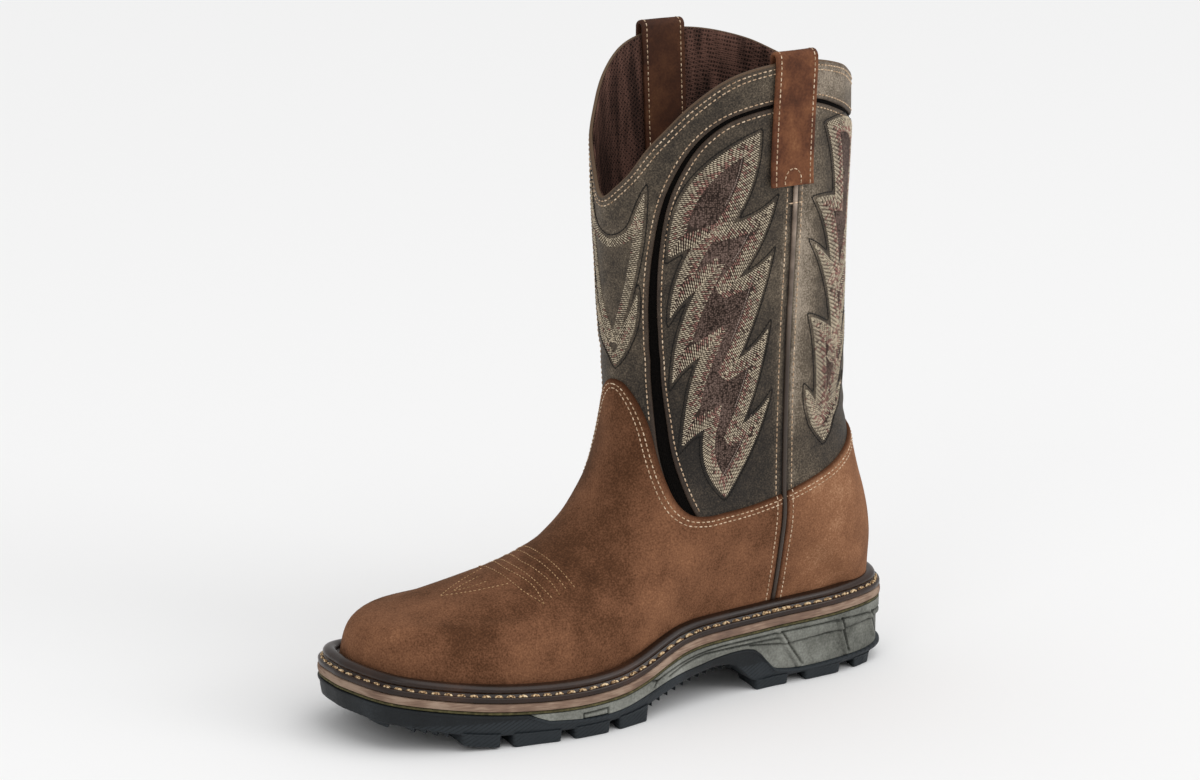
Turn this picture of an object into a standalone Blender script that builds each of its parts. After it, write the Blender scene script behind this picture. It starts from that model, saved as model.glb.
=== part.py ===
"""Pull-on western safety boot, left foot, with a square toe and a scalloped shaft.

A point is a station along the foot, from the back of the sole (0) to its toe, a side, positive
towards the outer side of the foot, and a height above the floor. All three are in millimetres here
and become metres in the meshes: +X is the outer side, -Y the toe and +Z up.
"""
import math

import bmesh
import bpy
import numpy as np
from mathutils import Vector
from mathutils.bvhtree import BVHTree

MM = 0.001

# Driving dimensions
SOLE_LENGTH = 310.0
BALL_WIDTH = 114.0
BALL_OUTER_SHARE = 0.526
GAP = 0.3
UPPER_WALL = 2.2
SKIN_WALL = 1.8
UPPER_INSET = 11.0
RIM_TRIM = 3.0
SHAFT_MIDDLE = 94.0
STRAP_STATION = {"left": 85.5, "right": 94.0}
STRAP_WIDTH = 25.0
STRAP_WALL = 2.0
STRAP_TOP = 331.0
STRAP_FOOT = 264.0
STRAP_BEND = 322.5
STRAP_GAP = 0.5
PIPING_RADIUS = 1.25
PIPING_POINTS = 24
PIPING_LIFT = 1.5

# Sole stack, from the welt down
WELT_WALL = 3.0
WELT_HOLE_INSET = 13.6
MIDSOLE_WALL = 3.9
SLIP_WALL = 1.3
SLIP_INSET = 0.6
CUSHION_FRONT = 233.0
CUSHION_TAPER = 11.0
CUSHION_TIP = 2.5
CUSHION_INSET = 0.4
CUSHION_WAIST_INSET = 1.5
TREAD_INSET = 0.3
TREAD_FOOT_INSET = 2.5
LUG_INSET = 2.9
LUG_SLANT = 3.0
LUG_TAPER = 1.2
LUG_ROOT = 2.0
HEEL_BREAST = (80.0, 93.0, 99.0, 105.0)
INSOLE_INSET = 16.0
INSOLE_RISE = 2.0
PLATE_STEPS = 84

# Bead welt in section: inset from the sole's edge, height above the welt's top
WELT_PROFILE = (
    (0.5, -WELT_WALL),
    (0.5, 0.0),
    (3.2, 0.0),
    (3.1, 2.0),
    (3.6, 3.8),
    (4.6, 4.4),
    (5.6, 3.8),
    (6.2, 1.5),
    (6.4, 0.0),
    (WELT_HOLE_INSET, 0.0),
    (WELT_HOLE_INSET, -WELT_WALL),
)
WELT_STEPS = 144

# Edge of the sole: station as a share of the length, side as a share of the ball's own half
SOLE_EDGE = (
    (0.000, -0.02),
    (0.029, 0.41),
    (0.129, 0.62),
    (0.258, 0.66),
    (0.371, 0.72),
    (0.484, 0.85),
    (0.622, 1.00),
    (0.742, 0.955),
    (0.855, 0.84),
    (0.955, 0.57),
    (0.994, 0.13),
    (1.000, -0.22),
    (0.989, -0.50),
    (0.959, -0.705),
    (0.905, -0.85),
    (0.845, -0.95),
    (0.726, -1.00),
    (0.581, -0.90),
    (0.419, -0.75),
    (0.274, -0.735),
    (0.145, -0.75),
    (0.029, -0.485),
)

# Heights along the sole: station, top of the welt, top of the tread unit, its underside, foot of the lugs
SOLE_HEIGHTS = (
    (0.0, 42.0, 10.0, 8.0, 5.0),
    (14.0, 41.6, 8.6, 5.0, 0.0),
    (40.0, 41.0, 8.2, 4.6, 0.0),
    (75.0, 40.0, 8.6, 4.6, 0.0),
    (80.0, 39.9, 9.6, 4.6, 0.0),
    (93.0, 39.5, 21.6, 5.2, 0.0),
    (98.0, 39.4, 23.2, 8.6, 0.0),
    (105.0, 39.3, 23.6, 15.5, 13.5),
    (115.0, 39.2, 23.2, 17.4, 15.4),
    (130.0, 38.9, 21.6, 16.4, 14.2),
    (141.0, 37.4, 20.4, 14.4, 12.0),
    (150.0, 34.4, 18.6, 12.0, 9.0),
    (164.0, 29.2, 14.6, 8.0, 0.0),
    (178.0, 26.0, 11.3, 6.0, 0.0),
    (190.0, 25.1, 10.2, 5.5, 0.0),
    (225.0, 24.8, 11.8, 5.5, 0.0),
    (240.0, 25.9, 12.4, 6.2, 0.0),
    (265.0, 28.9, 15.0, 8.8, 3.2),
    (290.0, 32.5, 19.2, 13.4, 9.5),
    (310.0, 35.4, 22.4, 16.4, 13.8),
)

# Main lugs along each edge: first station, last station, reach in from the edge
EDGE_LUGS = (
    (16.5, 30.0, 20.0),
    (38.5, 62.5, 22.0),
    (71.5, 92.5, 25.0),
    (163.0, 183.0, 32.0),
    (187.5, 209.0, 30.0),
    (214.5, 240.0, 28.0),
    (246.0, 266.0, 26.0),
    (271.0, 285.0, 24.0),
)

# Lugs along the middle: first station, last station, half width
MIDDLE_LUGS = (
    (6.0, 12.0, 12.0),
    (52.0, 76.0, 9.0),
    (173.0, 196.0, 14.0),
    (203.0, 226.0, 16.0),
    (233.0, 256.0, 15.0),
    (263.0, 280.0, 13.0),
    (289.0, 297.0, 26.0),
)

# Foot of the upper, toe to heel: station, side and height of the section's top point, station of its low
# point on the rim, half widths (0 is the rim's own), place of the widest point from top to rim, crown
# above it, fullness below it
FOOT_SECTIONS = (
    (299.2, -7.7, 38.0, 299.2, 0.0, 0.0, 0.70, 2.0, 2.0),
    (298.6, -8.5, 45.8, 298.6, 0.0, 0.0, 0.70, 2.2, 2.0),
    (296.6, -8.2, 50.0, 296.6, 0.0, 0.0, 0.70, 2.4, 2.0),
    (292.4, -4.6, 53.4, 292.4, 0.0, 0.0, 0.70, 2.6, 2.0),
    (284.5, -2.5, 56.4, 284.5, 0.0, 0.0, 0.70, 2.7, 2.0),
    (271.0, -1.5, 59.6, 271.0, 37.0, 39.8, 0.70, 2.6, 2.0),
    (254.0, -1.0, 63.0, 254.0, 43.0, 41.8, 0.72, 2.4, 2.0),
    (235.0, -1.0, 67.2, 235.0, 47.0, 43.2, 0.74, 2.2, 2.0),
    (214.0, -2.0, 72.8, 214.0, 49.3, 43.5, 0.76, 2.1, 1.8),
    (193.0, -3.0, 80.0, 192.0, 49.6, 42.5, 0.74, 2.0, 1.5),
    (176.0, -3.0, 91.3, 167.0, 47.0, 41.5, 0.68, 1.9, 1.3),
    (165.2, -2.5, 106.0, 140.0, 45.0, 40.5, 0.61, 1.9, 1.1),
    (159.6, -1.5, 119.0, 112.0, 44.0, 41.0, 0.55, 1.9, 1.1),
    (157.0, -0.5, 131.5, 85.0, 43.5, 42.0, 0.51, 2.0, 1.1),
    (155.9, 0.0, 142.0, 60.0, 43.5, 43.0, 0.49, 2.0, 1.2),
    (155.6, 0.0, 149.0, 40.0, 43.8, 43.5, 0.48, 2.0, 1.35),
    (155.6, 0.0, 153.0, 26.5, 44.0, 44.0, 0.48, 2.0, 1.55),
    (155.7, 0.0, 155.7, 18.0, 44.0, 44.0, 0.48, 2.0, 1.8),
    (155.8, 0.0, 157.6, 13.0, 44.0, 44.0, 0.48, 2.0, 2.05),
    (155.8, 0.0, 159.0, 11.0, 44.0, 44.0, 0.48, 2.0, 2.25),
)

# Ankle and shaft, in planes that rise to the front: station and height in front, station and height at
# the back, half width, fullness behind
SHAFT_SECTIONS = (
    (156.0, 163.0, 9.4, 57.0, 44.2, 2.25),
    (156.6, 168.5, 9.0, 69.0, 44.4, 2.25),
    (157.3, 177.5, 11.6, 85.0, 44.8, 2.2),
    (158.2, 190.0, 17.6, 105.0, 45.4, 2.15),
    (159.2, 206.0, 22.4, 127.0, 46.5, 2.1),
    (160.2, 227.0, 24.4, 152.0, 48.3, 2.05),
    (161.3, 255.0, 24.2, 182.0, 51.0, 2.0),
    (162.3, 290.0, 24.0, 215.0, 54.0, 2.0),
    (163.2, 330.0, 24.4, 255.0, 57.2, 2.0),
    (163.6, 375.0, 25.0, 300.0, 60.2, 2.0),
    (163.6, 415.0, 25.2, 340.0, 61.5, 2.0),
)
SHAFT_WIDEST = 0.49
SECTION_STEPS = 8

# Levels of the shaft above the foot: height in front, height at the back
SHAFT_LEVELS = (
    (212.0, 190.0),
    (250.0, 235.0),
    (290.0, 282.0),
    (335.0, 335.0),
)
FOOT_LOOPS = 16
COLLAR_STEPS = 4

# Scalloped collar: angle from the front about the shaft, height of the edge
COLLAR_EDGE = (
    (0.0, 256.0),
    (12.0, 265.0),
    (27.0, 284.0),
    (46.0, 305.5),
    (63.0, 318.5),
    (82.0, 324.5),
    (105.0, 325.5),
    (135.0, 319.0),
    (160.0, 308.0),
    (180.0, 303.5),
)

# Upper edge of the vamp and counter, seen from the side: station, height
SEAM_LINE = (
    (320.0, 165.0),
    (156.0, 162.5),
    (152.0, 157.0),
    (150.0, 148.0),
    (148.5, 136.0),
    (146.5, 120.0),
    (142.0, 105.0),
    (134.0, 98.5),
    (112.0, 99.5),
    (84.0, 104.0),
    (55.0, 112.5),
    (30.0, 123.5),
    (0.0, 134.0),
)

# Side seams: station and height at the welt and at the vamp's upper edge, station under each strap
SIDE_SEAM_LOW = 79.0
SIDE_SEAM_LOW_HEIGHT = 42.0
SIDE_SEAM_SPLIT = 80.5
SIDE_SEAM_SPLIT_HEIGHT = 104.5
SIDE_SEAM_TOP = {"left": 82.5, "right": 91.0}

LOOP_HALF = 20


def clear_scene():
    """Remove every object, so that the script can be run again."""
    for item in list(bpy.data.objects):
        bpy.data.objects.remove(item, do_unlink=True)


def collection(name):
    """A new collection in the scene."""
    made = bpy.data.collections.new(name)
    bpy.context.scene.collection.children.link(made)
    return made


def place(station, side, height):
    """The boot's own measures as a point in metres."""
    return Vector((side * MM, (SOLE_LENGTH / 2 - station) * MM, height * MM))


def smooth_curve(table, column, value):
    """Cubic through one column of a table, over its first column."""
    rows = np.array(table)
    xs = rows[:, 0]
    ys = rows[:, column]
    slopes = np.gradient(ys, xs)
    index = int(np.clip(np.searchsorted(xs, value) - 1, 0, len(xs) - 2))
    width = xs[index + 1] - xs[index]
    t = float(np.clip((value - xs[index]) / width, 0.0, 1.0))
    start = (2 * t**3 - 3 * t**2 + 1) * ys[index] + (t**3 - 2 * t**2 + t) * width * slopes[index]
    end = (3 * t**2 - 2 * t**3) * ys[index + 1] + (t**3 - t**2) * width * slopes[index + 1]
    return start + end


def welt_top(station):
    return smooth_curve(SOLE_HEIGHTS, 1, station)


def tread_top(station):
    return smooth_curve(SOLE_HEIGHTS, 2, station)


def tread_under(station):
    return smooth_curve(SOLE_HEIGHTS, 3, station)


def lug_foot(station):
    """Foot of the lugs, dead flat where the tables give the floor."""
    rows = np.array(SOLE_HEIGHTS)
    return float(np.interp(station, rows[:, 0], rows[:, 4]))


def midsole_top(station):
    return welt_top(station) - WELT_WALL - GAP


def slip_top(station):
    return midsole_top(station) - MIDSOLE_WALL - GAP


def slip_under(station):
    return slip_top(station) - SLIP_WALL


def closed_curve(points, steps):
    """Closed Catmull-Rom curve through the points."""
    around = np.array(points)
    count = len(around)
    curve = []
    for index in range(count):
        a, b, c, d = (around[(index + k) % count] for k in (-1, 0, 1, 2))
        for step in range(steps):
            t = step / steps
            curve.append(0.5 * (2 * b + (c - a) * t + (2 * a - 5 * b + 4 * c - d) * t**2
                                + (3 * b - a - 3 * c + d) * t**3))
    return np.array(curve)


def sole_edge(inset):
    """Dense outline of the sole as (station, side), moved in by the inset."""
    outer_half = BALL_WIDTH * BALL_OUTER_SHARE
    inner_half = BALL_WIDTH - outer_half
    points = [(along * SOLE_LENGTH, out * (outer_half if out > 0 else inner_half))
              for along, out in SOLE_EDGE]
    curve = closed_curve(points, 12)
    tangent = np.roll(curve, -1, 0) - np.roll(curve, 1, 0)
    tangent /= np.linalg.norm(tangent, axis=1)[:, None]
    inward = np.stack([tangent[:, 1], -tangent[:, 0]], 1)
    return curve + inward * inset


def half_widths(station, inset):
    """Sides of the outer and inner edge at a station, for the outline moved in by the inset."""
    edge = sole_edge(inset)
    back = edge[:, 0].argmin()
    edge = np.roll(edge, -back, 0)
    toe = edge[:, 0].argmax()
    outer = edge[:toe + 1]
    inner = np.vstack([edge[toe:], edge[:1]])[::-1]
    return (float(np.interp(station, outer[:, 0], outer[:, 1])),
            float(np.interp(station, inner[:, 0], inner[:, 1])))


def spread_stations(first, last, count):
    """Stations that crowd towards both ends, for the round heel and toe."""
    middle = (first + last) / 2
    half = (last - first) / 2
    return [middle - half * math.cos(math.pi * step / (count - 1)) for step in range(count)]


def edge_ends(inset):
    """First and last station of an inset outline, a hair inside its tips."""
    edge = sole_edge(inset)
    return edge[:, 0].min() + 0.2, edge[:, 0].max() - 0.2


def tread_stations():
    """Stations that the tread unit and the cushion share, so that their faces run parallel."""
    spread = [station for station in spread_stations(*edge_ends(TREAD_FOOT_INSET), PLATE_STEPS)
              if not CUSHION_FRONT - CUSHION_TAPER < station < CUSHION_FRONT + 1.0]
    return sorted(spread + [*HEEL_BREAST, CUSHION_FRONT - CUSHION_TAPER, CUSHION_FRONT])


def loft(rings, caps=True):
    """Skin through closed rings of equal length, with flat ends."""
    mesh = bmesh.new()
    rows = [[mesh.verts.new(point) for point in ring] for ring in rings]
    count = len(rows[0])
    for low, high in zip(rows, rows[1:]):
        for index in range(count):
            after = (index + 1) % count
            mesh.faces.new((low[index], low[after], high[after], high[index]))
    if caps:
        mesh.faces.new(rows[0][::-1])
        mesh.faces.new(rows[-1])
    bmesh.ops.recalc_face_normals(mesh, faces=mesh.faces)
    return mesh


def material(name, colour, roughness):
    """A plain Principled material."""
    made = bpy.data.materials.new(name)
    made.use_nodes = True
    shader = made.node_tree.nodes["Principled BSDF"]
    shader.inputs["Base Color"].default_value = (*colour, 1.0)
    shader.inputs["Roughness"].default_value = roughness
    return made


def add_object(name, mesh, surface, group):
    """Put a bmesh in the scene as a named, smooth-shaded object."""
    data = bpy.data.meshes.new(name)
    mesh.to_mesh(data)
    mesh.free()
    data.shade_smooth()
    data.set_sharp_from_angle(angle=math.radians(40))
    made = bpy.data.objects.new(name, data)
    group.objects.link(made)
    if surface:
        data.materials.append(surface)
    return made


def add_boolean(target, operation, cutter):
    """Exact Boolean with a cutter that stays hidden."""
    step = target.modifiers.new(operation.lower(), "BOOLEAN")
    step.operation = operation
    step.object = cutter
    step.solver = "EXACT"


def hide_cutter(cutter):
    cutter.hide_render = True
    cutter.display_type = "WIRE"


def plate(stations, top, under, top_inset, under_inset):
    """Solid plate of the sole's outline between two height functions."""
    rings = []
    for station in stations:
        outer_top, inner_top = half_widths(station, top_inset)
        outer_low, inner_low = half_widths(station, under_inset)
        rings.append([
            place(station, outer_top, top(station)),
            place(station, inner_top, top(station)),
            place(station, inner_low, under(station)),
            place(station, outer_low, under(station)),
        ])
    return loft(rings)


def lug(corners):
    """Prism under the tread, a little smaller at its foot, sunk into the plate above."""
    middle = np.mean(corners, 0)
    root = []
    foot = []
    for station, side in corners:
        inward = middle - (station, side)
        inward *= LUG_TAPER / np.linalg.norm(inward)
        root.append(place(station, side, tread_under(station) + LUG_ROOT))
        foot.append(place(station + inward[0], side + inward[1], lug_foot(station + inward[0])))
    return loft([root, foot])


def build_outsole(group, cutters):
    """Tread unit: plate with its toe bumper, and the main lugs joined to it."""
    rubber = material("black moulded rubber", (0.016, 0.019, 0.022), 0.6)

    def top(station):
        front = slip_under(station) - GAP
        return front if station >= CUSHION_FRONT else tread_top(station)

    tread_plate = plate(tread_stations(), top, tread_under, TREAD_INSET, TREAD_FOOT_INSET)
    outsole = add_object("outsole", tread_plate, rubber, group)
    lugs = bmesh.new()
    for first, last, reach in EDGE_LUGS:
        for which, turn in ((0, 1), (1, -1)):
            near = first + LUG_SLANT
            far = last - LUG_SLANT
            corners = [
                (first, half_widths(first, LUG_INSET)[which]),
                (last, half_widths(last, LUG_INSET)[which]),
                (far, half_widths(far, LUG_INSET)[which] - turn * reach),
                (near, half_widths(near, LUG_INSET)[which] - turn * reach),
            ]
            add_mesh(lugs, lug(corners))
    for first, last, half in MIDDLE_LUGS:
        middle = (first + last) / 2
        end = half * 0.6
        corners = [(first, -end), (first, end), (middle, half), (last, end), (last, -end), (middle, -half)]
        add_mesh(lugs, lug(corners))
    tread = add_object("tread_lugs", lugs, None, cutters)
    hide_cutter(tread)
    add_boolean(outsole, "UNION", tread)


def add_mesh(target, extra):
    """Copy one bmesh into another as a body of its own."""
    data = bpy.data.meshes.new("extra")
    extra.to_mesh(data)
    extra.free()
    target.from_mesh(data)
    bpy.data.meshes.remove(data)


def build_cushion(group):
    """Grey wedge: deep under the heel, thin through the arch, a thin edge at the ball."""
    foam = material("grey moulded cushion", (0.20, 0.20, 0.17), 0.7)
    stations = [station for station in tread_stations() if station < CUSHION_FRONT]

    def top(station):
        return slip_under(station) - GAP

    def under(station):
        return tread_top(station) + GAP

    rings = []
    for station in stations:
        widths = [half_widths(station, inset)
                  for inset in (CUSHION_INSET, CUSHION_WAIST_INSET, CUSHION_INSET)]
        heights = [top(station), (top(station) + under(station)) / 2, under(station)]
        outer = [place(station, pair[0], height) for pair, height in zip(widths, heights)]
        inner = [place(station, pair[1], height) for pair, height in zip(widths, heights)]
        rings.append(outer + inner[::-1])
    tip = CUSHION_FRONT - CUSHION_TIP
    outer_tip, inner_tip = half_widths(tip, CUSHION_INSET)
    drops = (0.0, 0.2, 0.4)
    tip_outer = [place(tip, outer_tip, top(tip) - drop) for drop in drops]
    tip_inner = [place(tip, inner_tip, top(tip) - drop) for drop in drops]
    rings.append(tip_outer + tip_inner[::-1])
    add_object("cushion", loft(rings), foam, group)


def build_plates(group):
    """Slip sole, midsole and insole: three plates of the sole's outline."""
    olive = material("olive rubber", (0.075, 0.067, 0.028), 0.7)
    tan = material("tan leather", (0.265, 0.17, 0.125), 0.6)
    board = material("brown insole fabric", (0.05, 0.035, 0.025), 0.9)
    slip_stations = spread_stations(*edge_ends(SLIP_INSET), PLATE_STEPS)
    slip = plate(slip_stations, slip_top, slip_under, SLIP_INSET, SLIP_INSET)
    add_object("slip_sole", slip, olive, group)
    tan_plate = plate(spread_stations(*edge_ends(0.0), PLATE_STEPS), midsole_top, slip_top_clear, 0.0, 0.0)
    add_object("midsole", tan_plate, tan, group)
    foot_bed = plate(spread_stations(*edge_ends(INSOLE_INSET), PLATE_STEPS), insole_top, insole_under,
                     INSOLE_INSET, INSOLE_INSET)
    add_object("insole", foot_bed, board, group)


def slip_top_clear(station):
    return slip_top(station) + GAP


def insole_top(station):
    return welt_top(station) + INSOLE_RISE


def insole_under(station):
    return midsole_top(station) + GAP


def build_welt(group):
    """Stitched welt: a ring under the upper's edge, with its raised bead against the vamp."""
    leather = material("dark brown welt", (0.035, 0.020, 0.014), 0.35)
    loops = [even_loop(sole_edge(inset), WELT_STEPS) for inset, lift in WELT_PROFILE]
    rings = []
    for index in range(WELT_STEPS):
        ring = []
        for loop, (inset, lift) in zip(loops, WELT_PROFILE):
            station, side = loop[index]
            ring.append(place(station, side, welt_top(station) + lift))
        rings.append(ring)
    mesh = loft(rings + rings[:1], caps=False)
    bmesh.ops.remove_doubles(mesh, verts=mesh.verts, dist=0.00001)
    bmesh.ops.recalc_face_normals(mesh, faces=mesh.faces)
    add_object("welt", mesh, leather, group)


def even_loop(curve, count):
    """Every so many points of a dense closed curve, the same ones for each inset."""
    picks = np.linspace(0, len(curve), count, endpoint=False).astype(int)
    return curve[picks]


def upper_sections():
    """All sections of the upper in one table, with smooth ones between the rows given above.

    A section lies in the plane through its top and low point. Columns: station, side and height of the
    top point, station and height of the low point, half widths, place of the widest point, crown,
    fullness below, half widths at the low point.
    """
    rows = []
    for top, ridge, height, low, outer, inner, widest, crown, fullness in FOOT_SECTIONS:
        outer_rim, inner_rim = half_widths(low, UPPER_INSET)
        rim = (outer_rim - ridge, ridge - inner_rim)
        halves = (max(outer - ridge, rim[0]), max(inner + ridge, rim[1]))
        rows.append((top, ridge, height, low, welt_top(low) - RIM_TRIM, *halves, widest, crown,
                     fullness, *rim))
    for front, front_height, back, back_height, half, fullness in SHAFT_SECTIONS:
        rows.append((front, 0.0, front_height, back, back_height, half, half, SHAFT_WIDEST, 2.0,
                     fullness, 0.0, 0.0))
    table = [(index, *row) for index, row in enumerate(rows)]
    columns = range(1, len(table[0]))
    count = (len(table) - 1) * SECTION_STEPS + 1
    return np.array([[smooth_curve(table, column, step / SECTION_STEPS) for column in columns]
                     for step in range(count)])


def section_sides(section, share):
    """Outer and inner side of a section at a share of the way from its top to its low point.

    From the top the half width grows in a rounded crown to its widest, then narrows to the low point's.
    """
    ridge = section[1]
    widest, crown, fullness = section[7:10]
    sides = []
    for half, rim_half in ((section[5], section[10]), (section[6], section[11])):
        if share <= widest:
            rise = (widest - share) / widest
            sides.append(half * (1.0 - rise**crown) ** (1.0 / crown))
        else:
            fall = (share - widest) / (1.0 - widest)
            narrowing = (half**fullness - max(rim_half, 0.0) ** fullness) * fall**fullness
            sides.append(max(half**fullness - narrowing, 0.0) ** (1.0 / fullness))
    return ridge + sides[0], ridge - sides[1]


def even_points(line, count):
    """Points evenly spread along a line."""
    run = np.concatenate([[0.0], np.cumsum(np.linalg.norm(np.diff(line, axis=0), axis=1))])
    picks = np.linspace(0.0, run[-1], count)
    return np.stack([np.interp(picks, run, line[:, axis]) for axis in range(3)], 1)


def join_sides(outer, inner):
    """One loop from the back along the outer side to the front, and along the inner side back again."""
    outer = even_points(np.array(outer), LOOP_HALF + 1)
    inner = even_points(np.array(inner), LOOP_HALF + 1)
    return np.vstack([outer[::-1], inner[1:-1]])


def rim_loop():
    """The upper's lower edge, on the welt's outline."""
    edge = sole_edge(UPPER_INSET)
    edge = np.roll(edge, -edge[:, 0].argmin(), 0)
    toe = edge[:, 0].argmax()
    rim = np.array([(station, side, welt_top(station) - RIM_TRIM) for station, side in edge])
    return join_sides(rim[:toe + 1][::-1], np.vstack([rim[toe:], rim[:1]]))


def slice_loop(sections, front, back):
    """Loop where the slanting plane through a front and a back point cuts the sections.

    Front and back are (station, side, height). Each section's line from top to low point crosses the
    plane's line at one place, and the section's half widths there are the loop's.
    """
    start = np.array([front[0], front[2]])
    run = np.array([back[0], back[2]]) - start
    found = []
    for section in sections:
        top = section[[0, 2]]
        fall = section[[3, 4]] - top
        turn = run[0] * fall[1] - run[1] * fall[0]
        if abs(turn) < 1e-9:
            continue
        share = (run[1] * (top - start)[0] - run[0] * (top - start)[1]) / turn
        along = (fall[1] * (top - start)[0] - fall[0] * (top - start)[1]) / turn
        if 0.0 < share < 1.0 and 0.0 < along < 1.0:
            found.append((along, *section_sides(section, share)))
    outer = [front]
    inner = [front]
    for along, outer_side, inner_side in sorted(found):
        station, height = start + run * along
        outer.append((station, outer_side, height))
        inner.append((station, inner_side, height))
    return join_sides(outer + [back], inner + [back])


def line_to_height(line, height):
    """A rising line as far as a height."""
    below = line[line[:, 2] < height]
    end = [np.interp(height, line[:, 2], line[:, axis]) for axis in range(3)]
    return np.vstack([below, end])


def upper_rings():
    """Loops of the upper's outer surface, from the rim on the welt up to the collar."""
    sections = upper_sections()
    heel = (len(FOOT_SECTIONS) - 1) * SECTION_STEPS
    front_line = sections[:, [0, 1, 2]]
    back_line = sections[heel:, [3, 1, 4]] * (1.0, 0.0, 1.0)
    neck_front, neck_back = SHAFT_LEVELS[0]
    fronts = even_points(line_to_height(front_line, neck_front), FOOT_LOOPS + 1)
    backs = even_points(line_to_height(back_line, neck_back), FOOT_LOOPS + 1)
    rings = [rim_loop()]
    rings += [slice_loop(sections, front, back) for front, back in zip(fronts[1:], backs[1:])]
    support = np.array([slice_loop(sections, line_to_height(front_line, front)[-1],
                                   line_to_height(back_line, back)[-1])
                        for front, back in SHAFT_LEVELS])
    for step in range(1, COLLAR_STEPS + 1):
        rings.append(np.array([collar_point(support[:, column], step / COLLAR_STEPS)
                               for column in range(support.shape[1])]))
    return rings


def collar_point(line, share):
    """Point a share of the way up a line of the shaft, from the neck to the scalloped collar."""
    angle = math.degrees(math.atan2(abs(line[-1, 1]), line[-1, 0] - SHAFT_MIDDLE))
    height = line[0, 2] + (smooth_curve(COLLAR_EDGE, 1, angle) - line[0, 2]) * share
    return [np.interp(height, line[:, 2], line[:, 0]), np.interp(height, line[:, 2], line[:, 1]), height]


def surface_mesh(rings):
    """The upper's outer surface through its rings, open at the collar and underneath."""
    mesh = loft([[place(*point) for point in ring] for ring in rings], caps=False)
    bmesh.ops.recalc_face_normals(mesh, faces=mesh.faces)
    bmesh.ops.triangulate(mesh, faces=mesh.faces, quad_method="FIXED")
    middle = sum((vert.co for vert in mesh.verts), Vector()) / len(mesh.verts)
    facing = sum(face.normal.dot(face.calc_center_median() - middle) for face in mesh.faces)
    if facing < 0:
        bmesh.ops.reverse_faces(mesh, faces=mesh.faces)
    mesh.normal_update()
    return mesh


def shell_mesh(rings, inside, outside):
    """Wall between two offsets of the upper's surface, closed along its edges."""
    mesh = surface_mesh(rings)
    inner_points = [(vert, vert.co + vert.normal * inside * MM) for vert in mesh.verts]
    extruded = bmesh.ops.extrude_face_region(mesh, geom=mesh.faces[:], use_keep_orig=True)
    outer = [item for item in extruded["geom"] if isinstance(item, bmesh.types.BMVert)]
    outer_points = [(vert, vert.co + vert.normal * outside * MM) for vert in outer]
    for vert, point in inner_points + outer_points:
        vert.co = point
    bmesh.ops.recalc_face_normals(mesh, faces=mesh.faces)
    return mesh


def side_seam(height, which):
    """Station of the left or right side seam at a height."""
    heights = (SIDE_SEAM_LOW_HEIGHT, SIDE_SEAM_SPLIT_HEIGHT, STRAP_FOOT)
    return float(np.interp(height, heights, (SIDE_SEAM_LOW, SIDE_SEAM_SPLIT, SIDE_SEAM_TOP[which])))


def side_cutter(name, outline, cutters):
    """Prism across the boot, from an outline of stations and heights."""
    reach = 90.0
    rings = [[place(station, side, height) for station, height in outline] for side in (-reach, reach)]
    made = add_object(name, loft(rings), None, cutters)
    hide_cutter(made)
    return made


def build_upper(group, cutters):
    """The hollow upper, and the vamp and counter that lie over it, all trimmed to the welt."""
    shaft_leather = material("distressed grey-brown leather", (0.07, 0.055, 0.04), 0.7)
    vamp_leather = material("oiled brown nubuck", (0.15, 0.06, 0.022), 0.75)
    rings = upper_rings()
    slot = PIPING_RADIUS + GAP
    rim = [(station, welt_top(station) + GAP) for station in np.linspace(0.0, SOLE_LENGTH, 32)]
    top = STRAP_TOP + 20.0
    split = float(np.interp(SIDE_SEAM_SPLIT, *np.array(SEAM_LINE)[::-1].T))
    seam_high = SIDE_SEAM_SPLIT
    seam_low = SIDE_SEAM_LOW
    vamp_seam = [point for point in SEAM_LINE if point[0] > seam_high + slot]
    counter_seam = [point for point in SEAM_LINE if point[0] < seam_high - slot]
    vamp_rim = [point for point in rim if point[0] > seam_low + slot]
    counter_rim = [point for point in rim if point[0] < seam_low - slot]
    low = welt_top(SIDE_SEAM_LOW) + GAP
    outlines = {
        "upper": rim + [(SOLE_LENGTH, top), (0.0, top)],
        "vamp": [(seam_low + slot, low)] + vamp_rim + vamp_seam + [(seam_high + slot, split)],
        "heel_counter": counter_rim + [(seam_low - slot, low), (seam_high - slot, split)] + counter_seam,
    }
    skin = (GAP, GAP + SKIN_WALL)
    for name, (inside, outside), surface in (
            ("upper", (-UPPER_WALL, 0.0), shaft_leather),
            ("vamp", skin, vamp_leather),
            ("heel_counter", skin, vamp_leather)):
        made = add_object(name, shell_mesh(rings, inside, outside), surface, group)
        add_boolean(made, "INTERSECT", side_cutter(name + "_cutter", outlines[name], cutters))
    return BVHTree.FromBMesh(surface_mesh(rings))


def surface_side(tree, station, height, turn):
    """Side of the upper's outer surface at a station and height, on the outer (1) or inner (-1) side."""
    hit = tree.ray_cast(place(station, turn * 150.0, height), Vector((-turn, 0.0, 0.0)))
    return hit[0].x / MM


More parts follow.
